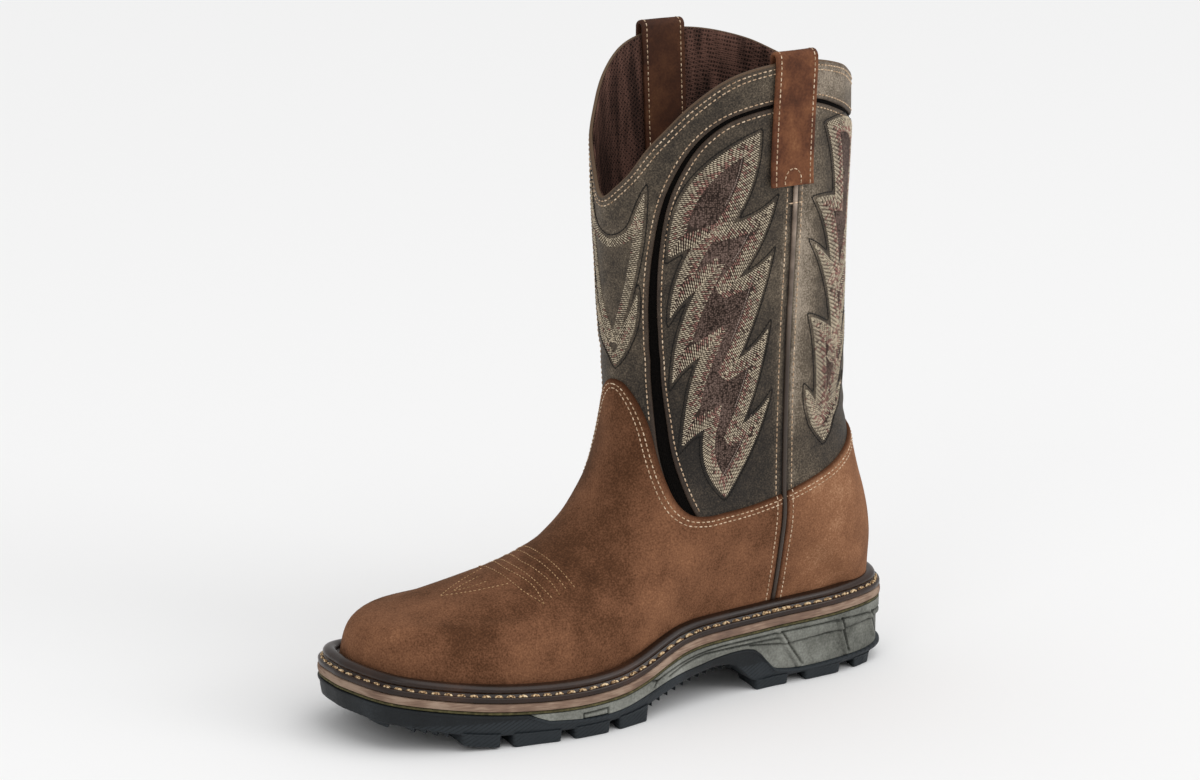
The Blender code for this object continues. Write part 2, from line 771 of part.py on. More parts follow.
def build_straps(tree, group):
    """Pull straps: a flat loop over the collar at each side."""
    leather = material("brown strap leather", (0.14, 0.055, 0.022), 0.6)
    heights = np.linspace(STRAP_FOOT, STRAP_BEND, 7)
    arc = np.linspace(0.0, math.pi, 7)
    for which, turn in (("left", 1), ("right", -1)):
        rings = []
        for across in np.linspace(-STRAP_WIDTH / 2, STRAP_WIDTH / 2, 5):
            station = STRAP_STATION[which] + across
            outside = np.array([abs(surface_side(tree, station, height, turn)) for height in heights])
            outside += STRAP_GAP
            inside = outside - UPPER_WALL - 2 * STRAP_GAP
            middle = (outside[-1] + inside[-1]) / 2
            bore = (outside[-1] - inside[-1]) / 2
            crown = STRAP_TOP - bore - STRAP_WALL
            bow = [(middle + bore * math.cos(a), crown + bore * math.sin(a)) for a in arc]
            over = bore + STRAP_WALL
            wide = [(middle + over * math.cos(a), crown + over * math.sin(a)) for a in arc]
            near = list(zip(outside, heights)) + bow + list(zip(inside[::-1], heights[::-1]))
            far = (list(zip(outside + STRAP_WALL, heights)) + wide
                   + list(zip(inside[::-1] - STRAP_WALL, heights[::-1])))
            rings.append([place(station, turn * side, height) for side, height in near + far[::-1]])
        add_object("pull_strap_" + which, loft(rings), leather, group)


def build_piping(tree, group):
    """Piping cords in the side seams, from under the strap to the welt."""
    leather = material("dark piping", (0.03, 0.02, 0.014), 0.5)
    low = welt_top(SIDE_SEAM_LOW) + PIPING_LIFT
    heights = np.linspace(STRAP_FOOT - PIPING_LIFT, low, PIPING_POINTS)
    for which, turn in (("left", 1), ("right", -1)):
        name = "side_piping_" + which
        data = bpy.data.curves.new(name, "CURVE")
        data.dimensions = "3D"
        data.bevel_depth = PIPING_RADIUS * MM
        data.bevel_resolution = 2
        data.use_fill_caps = True
        line = data.splines.new("POLY")
        line.points.add(len(heights) - 1)
        for point, height in zip(line.points, heights):
            start = place(side_seam(height, which), turn * 150.0, height)
            spot = tree.ray_cast(start, Vector((-turn, 0.0, 0.0)))
            lifted = spot[0] + spot[1] * (PIPING_RADIUS + GAP) * MM
            point.co = (*lifted, 1.0)
        made = bpy.data.objects.new(name, data)
        data.materials.append(leather)
        group.objects.link(made)


clear_scene()
boot = collection("pull_on_safety_boot")
boot_cutters = collection("cutters")
build_outsole(boot, boot_cutters)
build_cushion(boot)
build_plates(boot)
build_welt(boot)
upper_tree = build_upper(boot, boot_cutters)
build_straps(upper_tree, boot)
build_piping(upper_tree, boot)
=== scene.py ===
"""Looks of a left pull-on western safety boot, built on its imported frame.

A point is written as a station, in millimetres along the foot from the back of the sole, a side,
positive towards the outer side of the foot, and a height above the floor.
"""
import math
import random

import bmesh
import bpy
import numpy as np
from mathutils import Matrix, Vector
from mathutils.bvhtree import BVHTree


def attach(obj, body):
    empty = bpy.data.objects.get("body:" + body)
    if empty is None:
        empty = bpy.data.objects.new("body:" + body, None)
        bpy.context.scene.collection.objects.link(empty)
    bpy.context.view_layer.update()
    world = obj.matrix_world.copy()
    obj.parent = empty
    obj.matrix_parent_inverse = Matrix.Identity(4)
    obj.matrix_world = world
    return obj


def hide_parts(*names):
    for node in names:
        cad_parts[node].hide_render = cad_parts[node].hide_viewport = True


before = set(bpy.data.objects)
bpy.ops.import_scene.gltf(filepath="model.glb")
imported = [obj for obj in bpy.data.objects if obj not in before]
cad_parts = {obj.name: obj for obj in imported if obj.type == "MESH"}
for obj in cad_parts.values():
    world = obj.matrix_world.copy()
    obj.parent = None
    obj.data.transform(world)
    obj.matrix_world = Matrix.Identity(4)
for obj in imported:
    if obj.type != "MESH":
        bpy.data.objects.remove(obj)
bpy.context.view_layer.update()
bpy.ops.object.select_all(action="DESELECT")

# Black outsole: one moulding of oil-proof rubber with a tall toe bumper, slanted edge lugs and a
# toothed arch. Its wall ends at the top in a thin lip against the layer that is moulded above it.
MM = 0.001
BACK = 155.0
EDGE_POINTS = 480
# First and last station of the line that a layer's faces run in to
MIDDLE_LINE = (30.0, 280.0)


def colour(code):
    """Linear colour of an sRGB hex value."""
    shares = [int(code[place:place + 2], 16) / 255 for place in (1, 3, 5)]
    return (*[c / 12.92 if c <= 0.04045 else ((c + 0.055) / 1.055) ** 2.4 for c in shares], 1.0)


def per_mm(size):
    """Scale of a texture whose pattern repeats every so many millimetres, in metres of the scene."""
    return 1.0 / (size * MM)


def lead(tree, node, links):
    """Lead other nodes into a node's inputs, each by its first output or by the socket given."""
    for name, source in dict(links).items():
        socket = source.outputs[0] if isinstance(source, bpy.types.Node) else source
        tree.links.new(socket, node.inputs[name])


def add(tree, kind, values=(), links=()):
    """Add a node, with its settings, socket values or colour stops, and its links."""
    node = tree.nodes.new("ShaderNode" + kind)
    for name, value in dict(values).items():
        if name == "stops":
            shades = node.color_ramp.elements
            for index, (place, code) in enumerate(value):
                stop = shades[index] if index < 2 else shades.new(place)
                stop.position = place
                stop.color = colour(code)
        elif isinstance(name, int) or name in node.inputs:
            node.inputs[name].default_value = value
        else:
            setattr(node, name, value)
    lead(tree, node, links)
    return node


def surface(name, roughness, specular=0.25):
    """A new material, with its node tree, its shader and its Object coordinates."""
    made = bpy.data.materials.new(name)
    made.use_nodes = True
    tree = made.node_tree
    shader = tree.nodes["Principled BSDF"]
    shader.inputs["Roughness"].default_value = roughness
    shader.inputs["Specular IOR Level"].default_value = specular
    where = add(tree, "TexCoord").outputs["Object"]
    return made, tree, shader, where


def spots(points):
    """Stations, sides and heights in millimetres as points of the frame."""
    points = np.asarray(points, dtype=float)
    return np.stack([points[:, 1], BACK - points[:, 0], points[:, 2]], 1) * MM


def coordinates(data):
    """Vertex coordinates of a mesh as rows."""
    flat = np.empty(len(data.vertices) * 3, dtype=np.float32)
    data.vertices.foreach_get("co", flat)
    return flat.reshape(-1, 3).astype(float)


def layer_rows(name):
    """Stations of a layer of the sole, with its outer and inner side, top and underside there."""
    x, y, z = coordinates(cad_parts[name].data).T / MM
    points = np.stack([BACK - y, x, z], 1)
    keys = points[:, 0].round(1)
    rows = []
    for key in np.unique(keys):
        ring = points[keys == key]
        rows.append((key, ring[:, 1].max(), ring[:, 1].min(), ring[:, 2].max(), ring[:, 2].min()))
    return np.array(rows)


def smooth(table, column=1):
    """Smooth function through one column of a table, over its first column."""
    rows = np.array(table, dtype=float)
    xs = rows[:, 0]
    ys = rows[:, column]
    slopes = np.gradient(ys, xs)

    def value(at):
        at = np.asarray(at, dtype=float)
        index = np.clip(np.searchsorted(xs, at) - 1, 0, len(xs) - 2)
        width = xs[index + 1] - xs[index]
        t = np.clip((at - xs[index]) / width, 0.0, 1.0)
        start = (2 * t**3 - 3 * t**2 + 1) * ys[index] + (t**3 - 2 * t**2 + t) * width * slopes[index]
        return start + (3 * t**2 - 2 * t**3) * ys[index + 1] + (t**3 - t**2) * width * slopes[index + 1]

    return value


def lengths(line):
    """Length along a line at each of its points."""
    return np.concatenate([[0.0], np.cumsum(np.linalg.norm(np.diff(line, axis=0), axis=1))])


def even_line(line, count, closed=False):
    """Points evenly spread along a line."""
    line = np.vstack([line, line[:1]]) if closed else np.asarray(line, dtype=float)
    run = lengths(line)
    picks = np.linspace(0.0, run[-1], count, endpoint=not closed)
    return np.stack([np.interp(picks, run, line[:, axis]) for axis in range(line.shape[1])], 1)


def curve_spans(a, b, c, d, steps):
    """Points of the Catmull-Rom spans that run from b to c, between a and d."""
    parts = [0.5 * (2 * b + (c - a) * t + (2 * a - 5 * b + 4 * c - d) * t**2
                    + (3 * b - a - 3 * c + d) * t**3)
             for t in np.arange(steps) / steps]
    return np.stack(parts, 1).reshape(-1, b.shape[1])


sole_rows = layer_rows("midsole")
sole_sides = np.vstack([sole_rows[:, [0, 1]], sole_rows[::-1][:, [0, 2]]])
sole_curve = curve_spans(*[np.roll(sole_sides, shift, 0) for shift in (1, 0, -1, -2)], 10)
midsole_top = smooth(sole_rows, 3)
midsole_under = smooth(sole_rows, 4)
slip_rows = layer_rows("slip_sole")
slip_under = smooth(slip_rows, 4)


def sole_edge(inset, count=EDGE_POINTS):
    """Outline of the sole as stations and sides, moved in by an inset."""
    edge = even_line(sole_curve, count, closed=True)
    along = np.roll(edge, -2, 0) - np.roll(edge, 2, 0)
    along /= np.linalg.norm(along, axis=1)[:, None]
    inward = np.stack([along[:, 1], -along[:, 0]], 1)
    return edge + inward * np.reshape(inset, (-1, 1))


def sole_middle(station):
    """Side of the sole's middle line at a station."""
    return (np.interp(station, sole_rows[:, 0], sole_rows[:, 1])
            + np.interp(station, sole_rows[:, 0], sole_rows[:, 2])) / 2


def ring_mesh(rings, closed=False):
    """Mesh of quads through rings of points, joined end to end if closed."""
    count = len(rings[0])
    verts = np.vstack([spots(ring) for ring in rings])
    faces = []
    last = len(rings) if closed else len(rings) - 1
    for row in range(last):
        low = row * count
        high = (row + 1) % len(rings) * count
        faces += [(low + i, low + (i + 1) % count, high + (i + 1) % count, high + i) for i in range(count)]
    mesh = bmesh.new()
    made = [mesh.verts.new(vert) for vert in verts]
    for face in faces:
        mesh.faces.new([made[index] for index in face])
    bmesh.ops.remove_doubles(mesh, verts=mesh.verts, dist=0.000005)
    bmesh.ops.recalc_face_normals(mesh, faces=mesh.faces)
    return mesh


def add_piece(name, data, look, replaced=()):
    """Put a mesh in the scene as a piece of the boot."""
    piece = bpy.data.objects.new(name, data)
    bpy.context.scene.collection.objects.link(piece)
    data.materials.append(look)
    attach(piece, "root")
    if replaced:
        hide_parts(*replaced)
    return piece


def finish_piece(name, mesh, look, replaced=(), sharp=40, kept=1.0):
    """Make a bmesh a finished piece of the boot, with a share of its triangles kept."""
    data = bpy.data.meshes.new(name)
    mesh.to_mesh(data)
    mesh.free()
    piece = add_piece(name, data, look, replaced)
    if kept < 1.0:
        step = piece.modifiers.new("thinned", "DECIMATE")
        step.ratio = kept
        bpy.context.view_layer.objects.active = piece
        bpy.ops.object.modifier_apply(modifier=step.name)
    data.shade_smooth()
    data.set_sharp_from_angle(angle=math.radians(sharp))
    return piece


def sole_layer(wall, count=EDGE_POINTS):
    """Closed layer of the sole. Its wall runs through (inset, height) rows, from the underside up.

    Both may be numbers for each point of the outline. Each face runs in to a line along the middle.
    """
    rings = [np.column_stack([sole_edge(inset, count), np.broadcast_to(height, count)])
             for inset, height in wall]
    station = np.clip(sole_edge(0.0, count)[:, 0], *MIDDLE_LINE)
    caps = [np.column_stack([station, sole_middle(station), ring[:, 2]]) for ring in (rings[0], rings[-1])]
    return ring_mesh([caps[0]] + rings + [caps[1]])


def join(target, extra):
    """Copy one bmesh into another as a body of its own."""
    data = bpy.data.meshes.new("extra")
    extra.to_mesh(data)
    extra.free()
    target.from_mesh(data)
    bpy.data.meshes.remove(data)


# Underside of the tread: station, height of the plate, height of the lugs' feet
TREAD_LEVELS = (
    (0.0, 8.0, 5.0),
    (14.0, 5.0, 0.0),
    (40.0, 4.6, 0.0),
    (80.0, 4.6, 0.0),
    (93.0, 5.2, 0.0),
    (105.0, 15.5, 13.5),
    (115.0, 17.4, 15.4),
    (130.0, 16.4, 14.2),
    (141.0, 14.4, 12.0),
    (150.0, 12.0, 9.0),
    (164.0, 8.0, 0.0),
    (178.0, 6.0, 0.0),
    (190.0, 5.5, 0.0),
    (225.0, 5.5, 0.0),
    (240.0, 6.2, 0.0),
    (265.0, 8.8, 3.2),
    (290.0, 13.4, 9.5),
    (310.0, 16.4, 13.8),
)
# Edge lugs: first and last station, reach in from the edge
EDGE_LUGS = (
    (16.5, 30.0, 20.0),
    (38.5, 62.5, 22.0),
    (71.5, 93.0, 25.0),
    (163.0, 183.0, 32.0),
    (187.5, 209.0, 30.0),
    (214.5, 241.0, 28.0),
    (246.0, 266.0, 26.0),
)
# Middle lugs: first and last station, half width
MIDDLE_LUGS = (
    (52.0, 76.0, 9.0),
    (173.0, 196.0, 14.0),
    (203.0, 226.0, 16.0),
    (233.0, 256.0, 15.0),
    (263.0, 280.0, 13.0),
    (289.0, 297.0, 26.0),
)
LUG_INSET = 1.0
LUG_ROUND = 2.2
LUG_ROOT = 1.2
LUG_DRAFT = 0.8
LUG_NARROWING = 3.0
HATCH_PITCH = 1.7
HATCH_DEPTH = 0.35
CUSHION_TIP = (222.0, 233.0)
tread_under = smooth(TREAD_LEVELS, 1)
cushion_rows = layer_rows("cushion")
cushion_under = smooth(cushion_rows[cushion_rows[:, 0] <= CUSHION_TIP[0]], 4)


def lug_foot(station):
    """Height of the lugs' feet at a station."""
    levels = np.array(TREAD_LEVELS)
    return np.interp(station, levels[:, 0], levels[:, 2])


def tread_top(station):
    """Top of the outsole: under the cushion, then up its slanting front to the layer above."""
    front = slip_under(station) - 0.3
    share = np.clip((station - CUSHION_TIP[0]) / (CUSHION_TIP[1] - CUSHION_TIP[0]), 0.0, 1.0)
    under = cushion_under(np.minimum(station, CUSHION_TIP[0])) - 0.3
    return under + (front - under) * share


def edge_side(station, inset, which):
    """Side of the sole's outer (0) or inner (1) edge at a station, moved in by an inset."""
    edge = np.interp(station, sole_rows[:, 0], sole_rows[:, 1 + which])
    return edge - inset * (1 - 2 * which)


def rounded(corners, radius, steps=4):
    """A polygon with rounded corners, as a dense loop."""
    corners = np.asarray(corners, dtype=float)
    loop = []
    for before, corner, after in zip(np.roll(corners, 1, 0), corners, np.roll(corners, -1, 0)):
        back = before - corner
        ahead = after - corner
        start = corner + back * min(radius / np.linalg.norm(back), 0.45)
        end = corner + ahead * min(radius / np.linalg.norm(ahead), 0.45)
        for t in np.linspace(0.0, 1.0, steps):
            loop.append((1 - t) ** 2 * start + 2 * t * (1 - t) * corner + t**2 * end)
    return np.array(loop)


def lug(corners, hatched):
    """Lug with rounded corners and a bevelled foot, with fine slanting ribs on its outer face."""
    loop = even_line(rounded(corners, LUG_ROUND), 120 if hatched else 40, closed=True)
    centre = loop.mean(0)
    reach = (loop - centre) / np.linalg.norm(loop - centre, axis=1)[:, None]
    root = tread_under(loop[:, 0]) + LUG_ROOT
    foot = lug_foot(loop[:, 0])
    outer = np.abs(loop[:, 1] - centre[1]) > np.abs(loop[:, 1] - centre[1]).max() * 0.72
    rings = []
    for share in np.linspace(0.0, 1.0, 17):
        height = root - (root - foot - LUG_DRAFT) * share
        rib = np.abs((loop[:, 0] + height * 1.3) / HATCH_PITCH % 1.0 - 0.5) * 2.0
        bump = np.where(outer & (share > 0.15) & hatched, HATCH_DEPTH * (rib - 1.0), 0.0)
        rings.append(np.column_stack([loop + reach * (bump - LUG_DRAFT * share)[:, None], height]))
    rings.append(np.column_stack([loop - reach * 1.0, foot + 0.25]))
    rings.append(np.column_stack([loop - reach * 1.5, foot]))
    caps = [np.column_stack([np.broadcast_to(centre, loop.shape), np.full(len(loop), level.mean())])
            for level in (root, foot)]
    return ring_mesh([caps[0]] + rings + [caps[1]])


def bar(station, length, depth, inset):
    """Low cross rib under the sole, from edge to edge."""
    corners = [(station + end * length / 2, edge_side(station, inset, which))
               for end, which in ((-1, 1), (-1, 0), (1, 0), (1, 1))]
    loop = even_line(rounded(corners, 0.7), 36, closed=True)
    root = tread_under(loop[:, 0]) + 1.0
    rings = [np.column_stack([loop, root]), np.column_stack([loop, root - depth])]
    centre = loop.mean(0)
    small = centre + (loop - centre) * (1.0 - 0.8 / np.array([length, 40.0]))
    rings.append(np.column_stack([small, root - depth - 0.5]))
    middle = np.column_stack([np.stack([np.full(len(loop), station), small[:, 1]], 1), root - depth - 0.5])
    top = middle.copy()
    top[:, 2] = root
    return ring_mesh([top] + rings + [middle])


edge = sole_edge(0.0)
low = tread_under(edge[:, 0])
high = tread_top(edge[:, 0])
outsole = sole_layer((
    (3.2, low), (2.4, low + 0.15), (1.7, low + 0.8), (1.2, low * 0.6 + high * 0.4), (0.7, high - 1.9),
    (0.55, high - 1.5), (-0.05, high - 1.3), (-0.1, high - 0.8), (-0.05, high - 0.3), (0.4, high)))
for first, last, reach in EDGE_LUGS:
    for which in (0, 1):
        outer_line = [(s, edge_side(s, LUG_INSET, which)) for s in np.linspace(first, last, 5)]
        inner_ends = (last - LUG_NARROWING, first + LUG_NARROWING)
        inner_line = [(s, edge_side(s, reach, which)) for s in inner_ends]
        join(outsole, lug(outer_line + inner_line, True))
for first, last, half in MIDDLE_LUGS:
    end = half * 0.6
    middle = (first + last) / 2
    corners = [(first, -end), (first, end), (middle, half), (last, end), (last, -end), (middle, -half)]
    join(outsole, lug(corners, False))
# Cross ribs under the arch and the toe: first and last station, spacing, length, depth, inset
CROSS_RIBS = ((108.0, 161.0, 5.2, 2.8, 2.6, 2.4), (271.0, 290.0, 5.0, 3.0, 2.2, 2.6))
for first, last, spacing, length, depth, inset in CROSS_RIBS:
    for station in np.arange(first, last, spacing):
        join(outsole, bar(station, length, depth, inset))

# A wave texture of scale 1 repeats at this length
WAVE_LENGTH = math.pi / 10
# Moulded rubber: dull black under a grey bloom of dust, with a fine stipple, and the light and shade of
# slanting ribs painted low on the lugs. Both are drawn a little coarser than they are, to show.
rubber, tree, shader, where = surface("black moulded rubber, stippled", 0.55)
grit = add(tree, "TexNoise", {"Scale": per_mm(0.9), "Detail": 3.0}, {"Vector": where})
dust = add(tree, "TexNoise", {"Scale": per_mm(28.0), "Detail": 4.0}, {"Vector": where})
shade = add(tree, "Math", {"operation": "MULTIPLY_ADD", 1: 0.45}, {0: grit, 2: dust})
# Painted light and shade of the lugs' slanting ribs, in bands low on the lugs
slanted = add(tree, "Mapping", {"Rotation": (-0.55, 0.0, 0.0)}, {"Vector": where})
hatch = add(tree, "TexWave", {"Scale": WAVE_LENGTH * per_mm(1.8), "bands_direction": "Z"},
            {"Vector": slanted})
level = add(tree, "SeparateXYZ", {}, {"Vector": where})
low_down = add(tree, "MapRange", {"From Min": 0.015, "From Max": 0.012, "To Max": 0.9},
               {"Value": level.outputs["Z"]})
shade = add(tree, "Math", {"operation": "MULTIPLY_ADD"}, {0: hatch.outputs["Fac"], 1: low_down, 2: shade})
tones = add(tree, "ValToRGB", {"stops": ((0.45, "#0e1012"), (0.75, "#191d20"), (0.95, "#282d31"))},
            {"Fac": shade})
bump = add(tree, "Bump", {"Strength": 0.35, "Distance": 0.0004}, {"Height": grit})
lead(tree, shader, {"Base Color": tones, "Normal": bump})
finish_piece("outsole_tread", outsole, rubber, ["outsole"])

# Grey cushion: a moulded rubber wedge, deep at the heel and thin at the ball. Long grooves run along
# it, and its heel is sculpted in slanting panels.
CUSHION_POINTS = 1100
CUSHION_ROWS = 36


def line_distance(points, line):
    """Distance of many points from a line of points in the same plane."""
    points = np.asarray(points, dtype=float)
    best = np.full(len(points), 1e9)
    line = np.asarray(line, dtype=float)
    for start, end in zip(line, line[1:]):
        run = end - start
        share = np.clip((points - start) @ run / (run @ run), 0.0, 1.0)
        best = np.minimum(best, np.linalg.norm(points - start - share[:, None] * run, axis=1))
    return best


# Lines on the cushion's wall, as stations and depths below its top: fine grooves, the upper edge of
# the sunk heel panels, and slanting ribs that part them
CUSHION_GROOVES = (
    ((158.0, 2.2), (140.0, 2.8), (114.0, 2.0), (96.0, 2.2),
     (60.0, 2.6), (40.0, 3.0), (17.0, 5.0), (4.0, 6.0)),
    ((150.0, 4.8), (126.0, 3.6), (100.0, 4.4), (78.0, 5.2)),
    ((204.0, 2.6), (190.0, 2.4), (190.0, 5.6), (204.0, 5.2), (204.0, 2.6)),
    ((161.0, 0.6), (158.0, 2.2), (160.0, 4.4)),
)
PANEL_EDGE = ((4.0, 9.0), (17.0, 8.6), (39.0, 9.0), (49.0, 8.4), (72.0, 9.4), (86.0, 7.2), (97.0, 5.4))
HEEL_RIBS = (((79.0, 2.6), (66.0, 22.0)), ((41.0, 3.0), (35.0, 22.0)), ((18.0, 5.0), (12.0, 19.0)))


def groove_depth(station, depth):
    """Depth of the fine lines cut in the wall, in millimetres."""
    at = np.column_stack([station, depth])
    # Each heel rib gets a line 2.6 mm nearer the back: a shallow groove, and a painted shadow on the rib's
    # shaded side
    lines = list(CUSHION_GROOVES) + [PANEL_EDGE] + [np.array(rib) - (2.6, 0.0) for rib in HEEL_RIBS]
    return sum(1.1 * np.exp(-((line_distance(at, line) / 0.5) ** 2)) for line in lines)


def cushion_relief(station, depth):
    """Sculpting of the wall, in millimetres out from it."""
    at = np.column_stack([station, depth])
    edge_depth = np.interp(station, *np.array(PANEL_EDGE).T)
    relief = -1.5 / (1.0 + np.exp((edge_depth - depth) / 0.2)) * np.clip((97.0 - station) / 6.0, 0.0, 1.0)
    for rib in HEEL_RIBS:
        relief += 1.5 * np.exp(-((line_distance(at, rib) / 1.2) ** 4))
    return relief - groove_depth(station, depth)


edge = sole_edge(0.0, CUSHION_POINTS)
station = np.minimum(edge[:, 0], CUSHION_TIP[1] - 1.0)
high = slip_under(station) - 0.3
low = np.minimum(tread_top(station) + 0.25, high - 0.15)
wall = []
for share in np.linspace(0.0, 1.0, CUSHION_ROWS):
    height = low + (high - low) * share
    inset = 0.45 - cushion_relief(edge[:, 0], high - height)
    front = np.clip((edge[:, 0] - CUSHION_TIP[1] + 3.0) / 6.0, 0.0, 1.0)
    wall.append((inset + front * 6.0, height))
cushion = sole_layer([(4.0, low)] + wall + [(4.0, high)], CUSHION_POINTS)
# Depth of the cut lines at each point, kept for the painted shade in them
groove_shade_layer = cushion.verts.layers.float.new("groove")
points = np.array([vert.co for vert in cushion.verts]) / MM
station = BACK - points[:, 1]
for vert, value in zip(cushion.verts, groove_depth(station, slip_under(station) - 0.3 - points[:, 2])):
    vert[groove_shade_layer] = value
# Moulded rubber: matt grey, clouded by handling, with painted shade in its cut lines and along the
# shaded side of each heel rib
grey, tree, shader, where = surface("grey moulded rubber", 0.62)
fine = add(tree, "TexNoise", {"Scale": per_mm(1.2), "Detail": 4.0}, {"Vector": where})
broad = add(tree, "TexNoise", {"Scale": per_mm(22.0), "Detail": 3.0}, {"Vector": where})
shade = add(tree, "Math", {"operation": "MULTIPLY_ADD", 1: 0.5}, {0: fine, 2: broad})
groove_shade_mark = add(tree, "Attribute", {"attribute_name": "groove"})
shade = add(tree, "Math", {"operation": "MULTIPLY_ADD", 1: -0.3}, {0: groove_shade_mark.outputs["Fac"], 2: shade})
tones = add(tree, "ValToRGB", {"stops": ((0.42, "#363732"), (0.75, "#6e6f68"), (1.0, "#8f9089"))},
            {"Fac": shade})
bump = add(tree, "Bump", {"Strength": 0.25, "Distance": 0.0003}, {"Height": fine})
lead(tree, shader, {"Base Color": tones, "Normal": bump})
finish_piece("cushion_wedge", cushion, grey, ["cushion"], sharp=60)

# Slip sole: a thin sheet of olive rubber, cemented between the cushion and the midsole. Only its
# edge shows, as a fine uneven line.
edge = sole_edge(0.0)
top = smooth(slip_rows, 3)(edge[:, 0])
low = slip_under(edge[:, 0])
slip = sole_layer(((0.9, low), (0.5, low + 0.3), (0.45, top - 0.3), (0.8, top)))
# Crepe rubber: dull olive, speckled where the edge was cut
olive, tree, shader, where = surface("olive crepe rubber", 0.75)
fine = add(tree, "TexNoise", {"Scale": per_mm(2.0), "Detail": 4.0}, {"Vector": where})
tones = add(tree, "ValToRGB", {"stops": ((0.3, "#39351f"), (0.55, "#4f4a2e"), (0.75, "#6a633f"))},
            {"Fac": fine})
lead(tree, shader, {"Base Color": tones})
finish_piece("slip_sole_sheet", slip, olive, ["slip_sole"])

# Midsole: a tan leatherboard layer, trimmed and sanded with the welt. Its edge is dry and fibrous,
# with pale scuffs along the corner.
edge = sole_edge(0.0)
top = midsole_top(edge[:, 0])
low = midsole_under(edge[:, 0])
midsole = sole_layer((
    (0.7, low), (0.15, low + 0.3), (0.0, low + 0.9), (-0.1, (low + top) / 2), (0.05, top - 0.8),
    (0.3, top - 0.25), (0.9, top + 0.1)))
# Leatherboard: a dry edge in long fibres, drawn coarser than they are, to show
tan, tree, shader, where = surface("tan leatherboard, sanded edge", 0.8, 0.1)
fibre_scale = add(tree, "Mapping", {"Scale": (per_mm(7.0), per_mm(7.0), per_mm(0.7))}, {"Vector": where})
fibre = add(tree, "TexNoise", {"Scale": 1.0, "Detail": 5.0}, {"Vector": fibre_scale})
broad = add(tree, "TexNoise", {"Scale": per_mm(16.0), "Detail": 2.0}, {"Vector": where})
shade = add(tree, "Math", {"operation": "MULTIPLY_ADD", 1: 0.7}, {0: fibre, 2: broad})
tones = add(tree, "ValToRGB", {"stops": ((0.5, "#66534a"), (0.8, "#80695a"), (1.0, "#9c8675"))},
            {"Fac": shade})
bump = add(tree, "Bump", {"Strength": 0.5, "Distance": 0.0004}, {"Height": fibre})
lead(tree, shader, {"Base Color": tones, "Normal": bump})
finish_piece("midsole_board", midsole, tan, ["midsole"])

# Welt: a dark strip all round, stitched to the sole, with a smooth round bead against the vamp.
# The strip is dull where it was trimmed and the dressed bead shines.
WELT_WALL = 3.0
WELT_REACH = 13.0
# Middle of the bead in from the sole's edge, its half widths towards vamp and edge, and its height
BEAD_INSET = 6.3
BEAD_IN = 2.9
BEAD_OUT = 3.6
BEAD_HEIGHT = 5.2
edge = sole_edge(0.0)
welt_top = midsole_top(edge[:, 0]) + 0.3 + WELT_WALL
low = midsole_top(edge[:, 0]) + 0.25
bead = [(BEAD_INSET + (BEAD_IN if a < math.pi / 2 else BEAD_OUT) * math.cos(a),
         BEAD_HEIGHT * 0.5 + BEAD_HEIGHT * 0.5 * math.sin(a))
        for a in np.linspace(math.pi * 1.2, -0.3, 15)]
wall = [(WELT_REACH, low), (1.2, low), (0.5, low + 0.3), (0.25, low + 0.9), (0.25, welt_top - 0.7),
        (0.45, welt_top - 0.2), (1.0, welt_top), (2.6, welt_top - 0.25)]
wall += [(inset, welt_top + lift) for inset, lift in bead if lift > 0.1] + [(WELT_REACH, welt_top)]
rings = [np.column_stack([sole_edge(inset), height]) for inset, height in wall]
welt = ring_mesh(rings, closed=True)
# Dressed leather: nearly black-brown, with a broad soft gloss along the bead
dark, tree, shader, where = surface("dark brown dressed leather", 0.32, 0.35)
fine = add(tree, "TexNoise", {"Scale": per_mm(1.6), "Detail": 3.0}, {"Vector": where})
broad = add(tree, "TexNoise", {"Scale": per_mm(30.0), "Detail": 3.0}, {"Vector": where})
shade = add(tree, "Math", {"operation": "MULTIPLY_ADD", 1: 0.3}, {0: fine, 2: broad})
tones = add(tree, "ValToRGB", {"stops": ((0.45, "#1e120b"), (0.7, "#2d1c13"), (0.9, "#41291b"))},
            {"Fac": shade})
bump = add(tree, "Bump", {"Strength": 0.12, "Distance": 0.0003}, {"Height": fine})
lead(tree, shader, {"Base Color": tones, "Normal": bump})
finish_piece("welt_and_bead", welt, dark, ["welt"], sharp=50)

# Welt stitching: a heavy waxed two-ply thread, locked in short slanting stitches along the strip.
# The ends overlap in a tangle at the outer side of the heel.
threads = {}


def thread(store, start, end, out, radius, sides=6, shade=None):
    """One stitch, as a round thread that dips into the leather at both ends."""
    start, end, out = (np.asarray(item, dtype=float) for item in (start, end, out))
    along = end - start
    length = np.linalg.norm(along)
    along = along / length
    across = np.cross(along, out)
    across /= np.linalg.norm(across)
    up = np.cross(across, along)
    verts, faces, shades = threads.setdefault(store, ([], [], []))
    first = len(verts)
    # Each ring's share of the length, width and lift
    shape = ((0.0, 0.4, -0.9), (0.16, 0.9, 0.0), (0.5, 1.0, 0.35), (0.84, 0.9, 0.0), (1.0, 0.4, -0.9))
    if sides == 4:
        shape = ((0.0, 0.25, -0.5), (0.5, 1.0, 0.3), (1.0, 0.25, -0.5))
    for share, width, lift in shape:
        for turn in range(sides):
            angle = 2 * math.pi * turn / sides
            verts.append(start + along * length * share + up * radius * (lift + width * math.sin(angle))
                         + across * radius * width * math.cos(angle))
            shades.append(shade)
    for row in range(len(shape) - 1):
        for turn in range(sides):
            a = first + row * sides + turn
            b = first + row * sides + (turn + 1) % sides
            faces.append((b, a, a + sides, b + sides))
    faces.append(tuple(first + turn for turn in range(sides)))
    faces.append(tuple(first + (len(shape) - 1) * sides + turn for turn in reversed(range(sides))))


